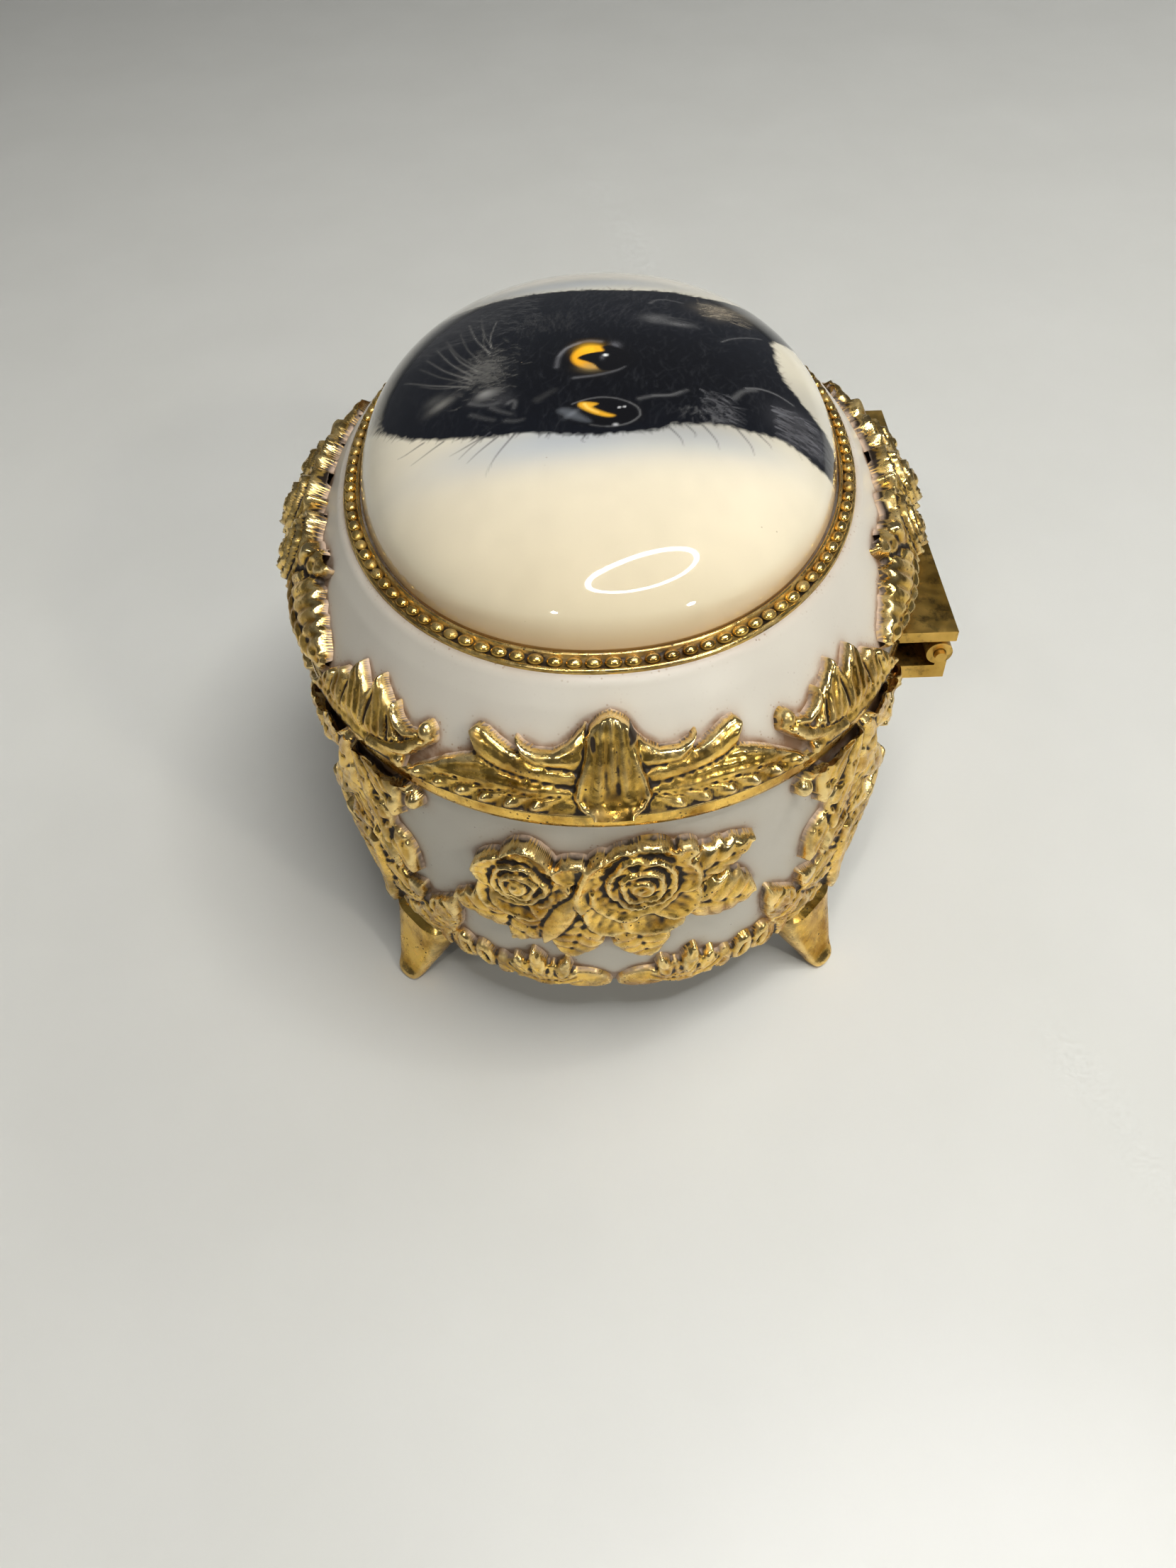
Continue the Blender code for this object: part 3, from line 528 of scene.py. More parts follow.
class Look:
    """Node material with short names for the nodes it is built from."""

    def __init__(self, name, **settings):
        self.material = bpy.data.materials.new(name)
        self.material.use_nodes = True
        self.tree = self.material.node_tree
        self.shader = self.tree.nodes["Principled BSDF"]
        for key, value in settings.items():
            self.shader.inputs[key.replace("_", " ")].default_value = value
        self.place = self.tree.nodes.new("ShaderNodeTexCoord").outputs["Object"]

    def node(self, kind, inputs=(), **settings):
        made = self.tree.nodes.new("ShaderNode" + kind)
        for key, value in settings.items():
            setattr(made, key, value)
        for key, value in dict(inputs).items():
            if isinstance(value, bpy.types.NodeSocket):
                self.tree.links.new(value, made.inputs[key])
            else:
                made.inputs[key].default_value = value
        return made

    def noise(self, scale, detail=3.0, rough=0.55, where=None):
        inputs = {"Vector": where or self.place, "Scale": scale, "Detail": detail, "Roughness": rough}
        return self.node("TexNoise", inputs).outputs["Fac"]

    def cells(self, scale):
        return self.node("TexVoronoi", {"Vector": self.place, "Scale": scale}).outputs["Distance"]

    def dots(self, scale, near, far):
        """1 in the middle of each cell, falling to 0 between these distances."""
        return self.span(self.cells(scale), near, far, 1.0, 0.0)

    def value(self, name):
        return self.node("Attribute", attribute_name=name).outputs["Fac"]

    def span(self, value, low, high, to_low=0.0, to_high=1.0):
        inputs = {"Value": value, "From Min": low, "From Max": high, "To Min": to_low, "To Max": to_high}
        return self.node("MapRange", inputs, clamp=True).outputs["Result"]

    def maths(self, how, a, b):
        return self.node("Math", {0: a, 1: b}, operation=how, use_clamp=True).outputs[0]

    def times(self, a, b):
        return self.maths("MULTIPLY", a, b)

    def mix(self, amount, a, b):
        made = self.node("Mix", data_type="RGBA")
        for socket, value in zip((made.inputs[0], made.inputs[6], made.inputs[7]), (amount, a, b)):
            if isinstance(value, bpy.types.NodeSocket):
                self.tree.links.new(value, socket)
            else:
                socket.default_value = value if isinstance(value, float) else (*value, 1.0)
        return made.outputs[2]

    def bump(self, height, strength, distance):
        inputs = {"Height": height, "Strength": strength, "Distance": distance * MM}
        return self.node("Bump", inputs).outputs["Normal"]

    def set(self, **sockets):
        for key, value in sockets.items():
            self.tree.links.new(value, self.shader.inputs[key.replace("_", " ")])
        return self.material


def gold_parts(look):
    """Colour, roughness, metal and bump of antique gilding, from how sunk and how proud it is."""
    hollow, ridge = look.value("hollow"), look.value("ridge")
    tone = look.span(look.noise(190, 5, 0.6), 0.36, 0.60)
    gold = look.mix(tone, (0.40, 0.195, 0.018), (1.0, 0.64, 0.14))
    worn = look.times(ridge, look.span(look.noise(420, 3), 0.3, 0.6, 0.35, 1.0))
    gold = look.mix(worn, gold, (1.0, 0.76, 0.34))
    specks = look.dots(1500, 0.16, 0.26)
    specks = look.times(specks, look.span(look.noise(330, 2), 0.5, 0.62))
    grime = look.span(look.noise(260, 5, 0.65), 0.49, 0.68)
    sunk = look.maths("ADD", look.span(hollow, 0.10, 0.62), look.times(grime, 0.55))
    patina = look.maths("MAXIMUM", specks, sunk)
    colour = look.mix(patina, gold, (0.020, 0.012, 0.006))
    polish = look.span(look.noise(700, 3), 0.3, 0.7, 0.12, 0.32)
    rough = look.maths("ADD", polish, look.times(patina, 0.3))
    metal = look.span(patina, 0.0, 1.0, 1.0, 0.35)
    pits = look.maths("ADD", look.noise(1300, 3, 0.5), look.span(look.cells(900), 0.0, 0.3, 0.0, 0.5))
    return colour, rough, metal, look.bump(pits, 0.5, 0.10)


def gilt():
    look = Look("antique_gilt_cast")
    colour, rough, metal, normal = gold_parts(look)
    # Enamel that ran a little way up the foot of the relief
    foot = look.span(look.value("height"), 0.2, 0.85, 1.0, 0.0)
    smear = look.times(foot, look.span(look.noise(340, 4, 0.6), 0.38, 0.56, 0.1, 0.9))
    colour = look.mix(smear, colour, (0.50, 0.37, 0.27))
    metal = look.maths("SUBTRACT", metal, smear)
    rough = look.maths("ADD", rough, look.times(smear, 0.25))
    return look.set(Base_Color=colour, Roughness=rough, Metallic=metal, Normal=normal)


def enamel():
    """Satin enamel with dust, brown stains and painted shade round the ornament, and a gilded band where
    asked.
    """
    look = Look("satin_enamel", Specular_IOR_Level=0.45)
    mottle = look.span(look.noise(45, 4), 0.3, 0.7)
    colour = look.mix(mottle, (0.45, 0.42, 0.36), (0.51, 0.48, 0.41))
    halo = look.value("halo")
    # Brown stain and painted shade in the enamel round the foot of the ornament and under the bezel
    stain_and_shade = look.times(halo, look.span(look.noise(240, 4), 0.25, 0.7, 0.5, 1.0))
    colour = look.mix(look.times(stain_and_shade, 0.85), colour, (0.30, 0.195, 0.125))
    # Darker brown right against the ornament: painted shade and stain, broken up by noise
    patchy = look.span(look.noise(420, 4, 0.6), 0.35, 0.55, 0.25, 1.0)
    close = look.times(look.span(halo, 0.35, 0.9), patchy)
    colour = look.mix(look.times(close, 0.85), colour, (0.16, 0.075, 0.026))
    dots = look.dots(700, 0.05, 0.085)
    dots = look.times(dots, look.span(look.noise(170, 2), 0.55, 0.62))
    colour = look.mix(look.times(dots, 0.8), colour, (0.16, 0.12, 0.09))
    dust = look.times(look.dots(1500, 0.14, 0.24), look.span(look.noise(300, 3), 0.42, 0.6))
    dust = look.times(dust, look.span(halo, 0.02, 0.5, 0.06, 0.8))
    colour = look.mix(dust, colour, (0.22, 0.13, 0.07))
    band = look.value("band")
    gold, rough, metal, normal = gold_parts(look)
    colour = look.mix(band, colour, gold)
    smooth = look.span(look.noise(90, 3), 0.3, 0.7, 0.34, 0.46)
    rough = look.node("Mix", {0: band, 2: smooth, 3: rough}, data_type="FLOAT").outputs[0]
    metal = look.times(band, metal)
    ripple = look.bump(look.noise(260, 3), 0.12, 0.10)
    normal = look.node("Mix", {0: band, 4: ripple, 5: normal}, data_type="VECTOR").outputs[1]
    return look.set(Base_Color=colour, Roughness=rough, Metallic=metal, Normal=normal)


def porcelain():
    look = Look("glazed_porcelain", Roughness=0.04, Coat_Weight=0.2, Coat_Roughness=0.02, IOR=1.5)
    paint = look.node("Attribute", attribute_name="paint").outputs["Color"]
    dots = look.dots(420, 0.03, 0.06)
    dots = look.times(dots, look.span(look.noise(90, 2), 0.56, 0.62))
    colour = look.mix(look.times(dots, 0.55), paint, (0.20, 0.15, 0.10))
    return look.set(Base_Color=colour, Normal=look.bump(look.noise(60, 2), 0.05, 0.2))


def brass():
    look = Look("worn_hinge_brass", Metallic=1.0)
    tone = look.span(look.noise(110, 5), 0.35, 0.65)
    colour = look.mix(tone, (0.42, 0.24, 0.04), (0.78, 0.50, 0.13))
    grime = look.span(look.noise(330, 5, 0.7), 0.52, 0.7)
    colour = look.mix(grime, colour, (0.05, 0.035, 0.022))
    rough = look.span(look.noise(500, 3), 0.3, 0.7, 0.28, 0.5)
    return look.set(Base_Color=colour, Roughness=rough, Normal=look.bump(look.noise(1100, 4), 0.3, 0.08))


def steel():
    look = Look("plated_steel", Metallic=1.0)
    wide = look.node("Mapping", {"Vector": look.place, "Scale": (1.0, 30.0, 1.0)}).outputs[0]
    lines = look.noise(120, 4, where=wide)
    colour = look.mix(lines, (0.36, 0.36, 0.35), (0.52, 0.52, 0.51))
    rough = look.span(lines, 0.3, 0.7, 0.26, 0.42)
    return look.set(Base_Color=colour, Roughness=rough, Normal=look.bump(lines, 0.15, 0.05))


def velvet():
    look = Look(
        "red_velvet_pile", Roughness=0.9, Sheen_Weight=0.8, Sheen_Roughness=0.35,
        Sheen_Tint=(0.9, 0.25, 0.25, 1),
    )
    brushed = look.span(look.noise(55, 3), 0.3, 0.7)
    colour = look.mix(brushed, (0.12, 0.006, 0.010), (0.27, 0.022, 0.030))
    pile = look.noise(3200, 2)
    colour = look.mix(look.span(pile, 0.3, 0.7, 0.0, 0.5), colour, (0.36, 0.05, 0.06))
    return look.set(Base_Color=colour, Normal=look.bump(pile, 0.6, 0.25))


GILT, BRASS, STEEL, VELVET = gilt(), brass(), steel(), velvet()
ENAMEL, PORCELAIN = enamel(), porcelain()

# ---------------------------------------------------------------- ornament

PANELS = {"right": 0.0, "rear": QUARTER, "left": HALF_ROUND, "front": 3 * QUARTER}
CORNERS = {
    "front_right": -CORNER_ARC, "rear_right": CORNER_ARC,
    "rear_left": HALF_ROUND - CORNER_ARC, "front_left": HALF_ROUND + CORNER_ARC,
}
LID_CORNERS = {
    "rear_right": (0.0, 1), "front_right": (0.0, -1),
    "rear_left": (HALF_ROUND, -1), "front_left": (HALF_ROUND, 1),
}
body_castings, lid_castings = [], []


def lay(body, casting, node, start, way=1):
    """Lays an ornament on the case or the lid, and keeps its place for the stains and painted shade round it.
    """
    kept, side = (body_castings, BODY_SIDE) if body == "base" else (lid_castings, LID_SIDE)
    kept.append((casting, start, way))
    casting.piece(node, side, start, way, body, seed=len(kept) * 11 + 3)


sprays, corners, aprons = spray(), corner(), apron()
rear_spray = spray()
rear_spray.H = np.where(rear_spray.Z > 40.2, -0.5, rear_spray.H)
for panel, start in PANELS.items():
    cast = rear_spray if panel == "rear" else sprays
    lay("base", cast, f"rose_spray_{panel}", start)
    lay("base", aprons, f"apron_border_{panel}", start)
for spot, start in CORNERS.items():
    lay("base", corners, f"corner_acanthus_{spot}", start)
shell, leaves = cartouche(), lid_leaf()
for panel in ("right", "left"):
    lay("lid", shell, f"side_cartouche_{panel}", PANELS[panel])
for spot, (start, way) in LID_CORNERS.items():
    lay("lid", leaves, f"lid_acanthus_{spot}", start, way)
lay("lid", rose_cluster(47.1), "thumb_roses", PANELS["front"])
lay("lid", rose_cluster(48.4), "hinge_roses", PANELS["rear"])


# ---------------------------------------------------------------- case and lid walls


def rows_of(profile, step):
    """Points along a profile of (inset, z), no more than a step apart."""
    found = []
    for (a, za), (b, zb) in zip(profile, profile[1:]):
        count = max(1, math.ceil(math.hypot(b - a, zb - za) / step))
        found += [(a + (b - a) * i / count, za + (zb - za) * i / count) for i in range(count)]
    return found


def casing(name, node, outer, inner, castings, band_z, band_above, body):
    """Closed wall round the oval, fine on the outside, where stains and painted shade gather round the
    ornament.
    """
    columns = 600
    outside = rows_of(outer, 0.5)
    arc = np.linspace(0, ROUND, columns, endpoint=False)
    x, y, Z = swept(outside + [outer[-1]] + inner, even_angles(columns))
    away = np.clip(1 - ((Z - HINGE_Z) / GROOVE_R) ** 2, 0, 1)
    limit = HINGE_Y - GROOVE_R * np.sqrt(away)
    y = np.where((body == "base") & (away > 0) & (abs(x) < GROOVE_X) & (y > limit), limit, y)
    S = np.broadcast_to(arc, x.shape)
    # Blurred cover of the ornament and the bezel: where the enamel round them gets dust, brown stain and
    # painted shade
    cover = np.zeros(x.shape)
    for cast, start, way in castings:
        local = (way * (S - start) + HALF_ROUND) % ROUND - HALF_ROUND
        cover = np.maximum(cover, cast.covers(local, Z))
    cover[Z > BEZEL_FOOT_Z] = 1
    cover[len(outside) + 1:] = 0
    wrapped = np.concatenate([cover[:, -12:], cover, cover[:, :12]], axis=1)
    halo = np.clip(blur(wrapped, 1, 4)[:, 12:-12] * 2.2, 0, 1)
    band = np.clip((Z - band_z) / 0.25, 0, 1) if band_above else np.clip((band_z - Z) / 0.25, 0, 1)
    band[len(outside) + 2:] = 0
    edge = np.exp(-(((Z - (46.5 if band_above else 47.0)) / 0.2) ** 2))
    surface(
        name, listed(x, y, Z), grid_quads(*x.shape, True, True)[:, ::-1], ENAMEL, body,
        "white_enamel", [node], halo=halo, band=band, hollow=np.exp(-(((Z - band_z) / 0.3) ** 2)), ridge=edge,
    )


casing(
    "enamelled_case", "body_casting", BODY_SIDE, [(3.0, 46.6), (3.0, 12.6), (8.0, 12.6), (8.0, 11.0)],
    body_castings, BODY_BAND_Z, True, "base",
)
casing(
    "enamelled_lid", "lid_casting", LID_SIDE + [(8.3, 59.0)],
    [(13.0, 58.4), (13.0, 56.9), (8.9, 56.9), (5.2, 52.2), (3.2, 48.4), (2.6, 46.9)],
    lid_castings, LID_BAND_Z, False, "lid",
)


def beaded_bezel():
    """Setting of the porcelain: a low gallery with a ring of oval beads."""
    columns = 448
    profile = [
        (10.2, 58.4), (8.1, 58.4), (8.1, 59.0), (8.2, 59.3), (8.4, 59.4), (8.55, 59.3), (9.7, 59.35),
        (9.8, 59.85), (9.95, 60.05), (10.2, 59.95),
    ]
    x, y, z = swept(profile, even_angles(columns))
    points = [listed(x, y, z)]
    quads = [grid_quads(*x.shape, True, True)]
    hollow = [np.repeat([0.2, 0.3, 0.3, 0.0, 0.1, 0.55, 0.55, 0.3, 0.0, 0.3], columns)]
    ridge = [np.repeat([0, 0, 0.2, 0.7, 0.4, 0, 0, 0.3, 0.8, 0.2], columns)]
    fine = np.linspace(0, TAU, 20001)
    track = RIM_Y - BEAD_INSET
    lengths = np.concatenate([[0], np.cumsum(np.hypot(*np.diff(oval(track, fine), axis=1)))])
    places = np.interp((np.arange(BEADS) + 0.5) * lengths[-1] / BEADS, lengths, fine)
    bx, by = oval(track, places)
    ahead = oval(track, places + 1e-3)
    facing = np.arctan2(ahead[1] - by, ahead[0] - bx)
    rng = np.random.default_rng(5)
    around, up = 16, 9
    lat = np.linspace(-0.5, 1, up)[:, None] * math.pi / 2
    lon = np.linspace(0, TAU, around, endpoint=False)[None, :]
    ball = listed(*np.broadcast_arrays(np.cos(lat) * np.cos(lon), np.cos(lat) * np.sin(lon), np.sin(lat)))
    for i in range(BEADS):
        along, over, high = np.array([0.94, 0.74, 0.62]) * rng.uniform(0.93, 1.04)
        c, s = math.cos(facing[i]), math.sin(facing[i])
        spin = np.array([(along * c, along * s, 0), (-over * s, over * c, 0), (0, 0, high)])
        middle = np.array([bx[i], by[i], 59.5 + rng.uniform(-0.05, 0.05)])
        quads.append(grid_quads(up, around, False, True) + sum(len(p) for p in points))
        points.append(ball @ spin + middle)
        hollow.append(np.clip(0.55 - 1.2 * (ball[:, 2] + 0.1), 0, 1))
        ridge.append(np.clip(ball[:, 2] - 0.3, 0, 1))
    surface(
        "beaded_bezel_cast", np.concatenate(points), np.concatenate(quads), GILT, "lid", "antique_gilt",
        ["beaded_bezel"], hollow=np.concatenate(hollow), ridge=np.concatenate(ridge),
        height=np.ones(sum(len(p) for p in points)),
    )


beaded_bezel()

# ---------------------------------------------------------------- feet


def through(before, a, b, after, t):
    """Smooth curve from a to b, shaped by the points on either side."""
    bent = (2 * before - 5 * a + 4 * b - after) * t**2 + (3 * a - before - 3 * b + after) * t**3
    return 0.5 * (2 * a + (b - before) * t + bent)


def smooth_levels(levels, count):
    """Passes a smooth curve through rows of numbers given from top to bottom."""
    levels = np.array(levels)
    at = np.linspace(0, len(levels) - 1, count)
    i = np.clip(at.astype(int), 0, len(levels) - 2)
    t = (at - i)[:, None]
    before, after = levels[np.maximum(i - 1, 0)], levels[np.minimum(i + 2, len(levels) - 1)]
    return through(before, levels[i], levels[i + 1], after, t)


def foot(corner_name, sx, sy):
    """Foot that stands square to the case's corner, with a raised rim, a sunk face and a small toe."""
    half_depth = np.float64(RIM_Y - FOOT_INSET)
    angle = math.atan2(sy * math.sin(FOOT_ANGLE), sx * math.cos(FOOT_ANGLE))
    cx, cy = (float(v) for v in oval(half_depth, angle))
    power = OVAL_POWER - 1
    nx = math.copysign(abs(cx) ** power, cx) / float(half_length(half_depth)) ** OVAL_POWER
    ny = math.copysign(abs(cy) ** power, cy) / half_depth**OVAL_POWER
    nx, ny = nx / math.hypot(nx, ny), ny / math.hypot(nx, ny)
    levels = smooth_levels([
        # height, reach of the outer face, depth, half width
        (10.7, 2.4, 9.0, 5.2), (8.6, 2.7, 8.4, 4.9), (6.6, 3.1, 6.6, 4.3), (4.4, 3.7, 4.8, 3.5),
        (2.2, 4.4, 3.6, 2.6), (0.7, 5.2, 3.0, 2.1), (0.0, 5.1, 2.4, 1.6),
    ], 60)
    rows, around = len(levels), 72
    way = np.linspace(0, TAU, around, endpoint=False)[None, :]
    c, s = np.cos(way), np.sin(way)
    z, reach, depth, half = (levels[:, k : k + 1] for k in range(4))
    rim = 0.3 * np.exp(-(((abs(s) - 0.86) / 0.12) ** 2)) * np.clip(c * 3, 0, 1) * np.clip(z / 2, 0, 1)
    bowl = -0.28 * np.exp(-((s / 0.5) ** 2)) * np.clip(c, 0, 1) * np.clip((z - 1.2) / 3, 0, 1)
    toe = 0.25 * np.exp(-(((z - 1.0) / 0.7) ** 2)) * np.clip(c, 0, 1)
    lumps = 0.06 * noise((rows, around), 7, 91) * np.clip(1.2 - abs(np.linspace(-1, 1, around)), 0, 1)
    out = np.sign(c) * abs(c) ** 0.6 * depth / 2 + c * (rim + bowl + toe + lumps)
    across = np.sign(s) * abs(s) ** 0.8 * half
    x = cx + nx * (reach - depth / 2 + out) - ny * across
    y = cy + ny * (reach - depth / 2 + out) + nx * across
    z = np.broadcast_to(np.maximum(z, 0), x.shape)
    points = listed(x, y, z)
    ends = [points[:around].mean(0), points[-around:].mean(0)]
    points = np.concatenate([points, np.repeat(ends, around, axis=0)])
    i = np.arange(around)
    j = (i + 1) % around
    top = np.stack([j, i, rows * around + i, rows * around + j], -1)
    last = (rows - 1) * around
    bottom = np.stack([last + i, last + j, (rows + 1) * around + j, (rows + 1) * around + i], -1)
    quads = np.concatenate([grid_quads(rows, around, False, True), top, bottom])[:, ::-1]
    sunk = np.broadcast_to(np.clip(0.02 - 0.5 * c + 2.5 * (lumps - rim), 0, 1), x.shape).ravel()
    proud = np.broadcast_to(np.clip(2.2 * (rim + toe), 0, 1), x.shape).ravel()
    pad = np.zeros(2 * around)
    surface(
        f"foot_{corner_name}_cast", points, quads, GILT, "base", "antique_gilt", [f"foot_{corner_name}"],
        hollow=np.concatenate([sunk, pad]), ridge=np.concatenate([proud, pad]), height=np.ones(len(points)),
    )


for corner_name, (sx, sy) in {
    "front_right": (1, -1), "front_left": (-1, -1), "rear_right": (1, 1), "rear_left": (-1, 1),
}.items():
    foot(corner_name, sx, sy)

# ---------------------------------------------------------------- carried-over CAD nodes

WORN_EDGE = 0.15

for node_name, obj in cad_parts.items():
    if node_name.startswith(("bottom_plate", "dome_backing", "foot_screw")):
        look = STEEL
    elif "hinge_leaf" in node_name or node_name == "hinge_pin":
        look = BRASS
    else:
        continue
    obj.data.materials.clear()
    obj.data.materials.append(look)
    bevel = obj.modifiers.new("worn_edges", "BEVEL")
    bevel.width = WORN_EDGE * MM
    bevel.segments = 2
    bevel.limit_method = "ANGLE"

# ---------------------------------------------------------------- portrait


class Canvas:
    """Colour over the plan of the dome: x across the box, y from the front to the hinge."""

    half_x, half_y, k = 41, 31, 10

    def __init__(self):
        self.x = np.arange(-self.half_x, self.half_x, 1 / self.k)
        self.y = np.arange(-self.half_y, self.half_y, 1 / self.k)
        self.X, self.Y = np.meshgrid(self.x, self.y, indexing="ij")
        self.image = np.zeros((*self.X.shape, 3))

    def window(self, points, margin):
        low, high = points.min(0) - margin, points.max(0) + margin
        (i0, j0), (i1, j1) = self.steps(*low), self.steps(*high)
        i = np.clip((i0, i1 + 1), 0, len(self.x)).astype(int)
        j = np.clip((j0, j1 + 1), 0, len(self.y)).astype(int)
        return slice(*i), slice(*j)

    def steps(self, x, y):
        """A point's place on the grid, in steps."""
        return (x + self.half_x) * self.k, (y + self.half_y) * self.k

    def lay(self, cut, mask, colour):
        mask = mask[..., None]
        self.image[cut] = self.image[cut] * (1 - mask) + np.asarray(colour) * mask

    def inside(self, points, soft, ragged=0.0, seed=0):
        """Softened mask of a closed outline."""
        points = np.asarray(points, float)
        cut = self.window(points, 3 * np.max(soft) + 1)
        X, Y = self.X[cut], self.Y[cut]
        if ragged:
            X = X + ragged * noise(X.shape, 5, seed)
            Y = Y + ragged * noise(X.shape, 5, seed + 1)
        away = np.full(X.shape, 1e9)
        odd = np.zeros(X.shape, bool)
        for (ax, ay), (bx, by) in zip(points, np.roll(points, -1, axis=0)):
            dx, dy = bx - ax, by - ay
            t = np.clip(((X - ax) * dx + (Y - ay) * dy) / (dx * dx + dy * dy + 1e-12), 0, 1)
            away = np.minimum(away, np.hypot(X - ax - t * dx, Y - ay - t * dy))
            with np.errstate(divide="ignore", invalid="ignore"):
                odd ^= ((ay > Y) != (by > Y)) & (X < dx * (Y - ay) / dy + ax)
        signed = np.where(odd, away, -away)
        softness = soft[cut] if isinstance(soft, np.ndarray) else soft
        return cut, np.clip(0.5 + signed / (2 * softness), 0, 1)

    def fill(self, points, colour, soft, strength=1.0):
        cut, mask = self.inside(points, soft)
        self.lay(cut, mask * strength, colour)

    def blob(self, at, radii, colour, turn=0.0, strength=1.0, power=2.0):
        at = np.asarray(at, float)
        cut = self.window(at[None, :], 2.2 * max(radii))
        c, s = math.cos(turn), math.sin(turn)
        dx, dy = self.X[cut] - at[0], self.Y[cut] - at[1]
        r = np.hypot((dx * c + dy * s) / radii[0], (dy * c - dx * s) / radii[1])
        self.lay(cut, strength * np.exp(-(r**power)), colour)

    def stroke(self, points, width, colour, strength=1.0, taper=1.0, soft=0.1):
        """Line that thins towards its end."""
        points = np.asarray(points, float)
        cut = self.window(points, width + soft + 0.2)
        X, Y = self.X[cut], self.Y[cut]
        mask = np.zeros(X.shape)
        count = len(points) - 1
        for i, ((ax, ay), (bx, by)) in enumerate(zip(points, points[1:])):
            dx, dy = bx - ax, by - ay
            t = np.clip(((X - ax) * dx + (Y - ay) * dy) / (dx * dx + dy * dy + 1e-12), 0, 1)
            along = (i + t) / count
            half = 0.5 * width * (1 - taper * along) + 0.03
            away = np.hypot(X - ax - t * dx, Y - ay - t * dy)
            ink = np.clip(0.5 + (half - away) / (2 * soft), 0, 1)
            mask = np.maximum(mask, ink * ink * (3 - 2 * ink) * (1 - 0.5 * taper * along))
        self.lay(cut, mask * strength, colour)


def spline(points, closed=True, count=8):
    """Smooth curve through points."""
    points = np.asarray(points, float)
    n = len(points)
    found = []
    for i in range(n if closed else n - 1):
        four = [points[(i + k) % n] if closed else points[min(max(i + k, 0), n - 1)] for k in (-1, 0, 1, 2)]
        found += [through(*four, t) for t in np.arange(count) / count]
    if not closed:
        found.append(points[-1])
    return np.array(found)


BLACK, INK, CREAM = (0.002, 0.002, 0.003), (0.004, 0.005, 0.008), (0.66, 0.61, 0.48)
RIM_STAIN = (0.42, 0.24, 0.08)


def portrait():
    art = Canvas()
    X, Y = art.X, art.Y
    near = np.clip((X - 10) / 30, 0, 1)[..., None]
    art.image[:] = np.array(CREAM) * (1 - near) + np.array((0.58, 0.50, 0.34)) * near
    far = np.clip((-X - 18) / 8, 0, 1)[..., None]
    art.image = art.image * (1 - far) + np.array((0.62, 0.58, 0.49)) * far
    art.image *= (1 + 0.03 * noise(X.shape, 60, 3) + 0.02 * noise(X.shape, 17, 4))[..., None]
    # Cool printed shading round the head
    for at, radii, strength in [
        ((-21.0, -2), (3.2, 17), 0.6), ((18.2, -4), (3.6, 15), 0.7), ((17, 13), (2.6, 9), 0.45),
        ((4, 27), (4, 3), 0.15),
    ]:
        art.blob(at, radii, (0.32, 0.37, 0.43), strength=strength, power=2.2)
    head = spline([
        (-19, -16), (-18.5, -11), (-18, -5), (-17.5, 0), (-17.3, 5), (-18, 10), (-18, 14), (-19.5, 18),
        (-21, 21.5), (-19.5, 24.5), (-15, 26.4), (-12.5, 26.3), (-11, 25.2), (-9.4, 23.0), (-6, 22.7),
        (0, 22.9), (3, 24), (6, 26), (8.5, 28.2), (10.5, 28.9), (14, 28.2), (15.2, 26.5), (14.9, 24),
        (14.2, 21), (14.6, 18), (14.5, 15), (15, 12), (15.5, 9), (16.8, 7), (17.4, 4), (17.6, 1),
        (17.5, -2), (17, -5), (16.2, -8), (15.9, -11), (15.2, -14), (14, -17), (12.5, -20), (10, -23),
        (6, -26), (2, -27.8), (-4, -28.6), (-10, -27), (-15, -24), (-19, -21),
    ])
    soft = 0.25 + 3.2 * np.clip((-Y - 14) / 10, 0, 1) * np.clip((6 - X) / 10, 0, 1)
    cut, mask = art.inside(head, soft, ragged=0.22, seed=21)
    art.lay(cut, mask, INK)
    head_mask = np.zeros(X.shape)
    head_mask[cut] = mask
    art.blob((6, 6), (11, 20), BLACK, strength=0.8, power=3)
    art.blob((-16, -21), (7, 8), (0.06, 0.06, 0.062), strength=0.6)
    # Ears
    art.blob((-14, 17.5), (2.2, 3.2), (0.22, 0.19, 0.14), turn=0.3, strength=0.7)
    art.blob((-13, 15.5), (2.4, 1.2), (0.22, 0.19, 0.15), strength=0.5)
    art.blob((-17.6, 22.0), (1.6, 3.6), (0.11, 0.105, 0.10), strength=0.7)
    art.blob((10.5, 24.0), (3.0, 3.0), (0.07, 0.07, 0.075), strength=0.7)
    fur(art, head_mask)
    eyes(art)
    muzzle(art)
    whiskers(art)
    return art


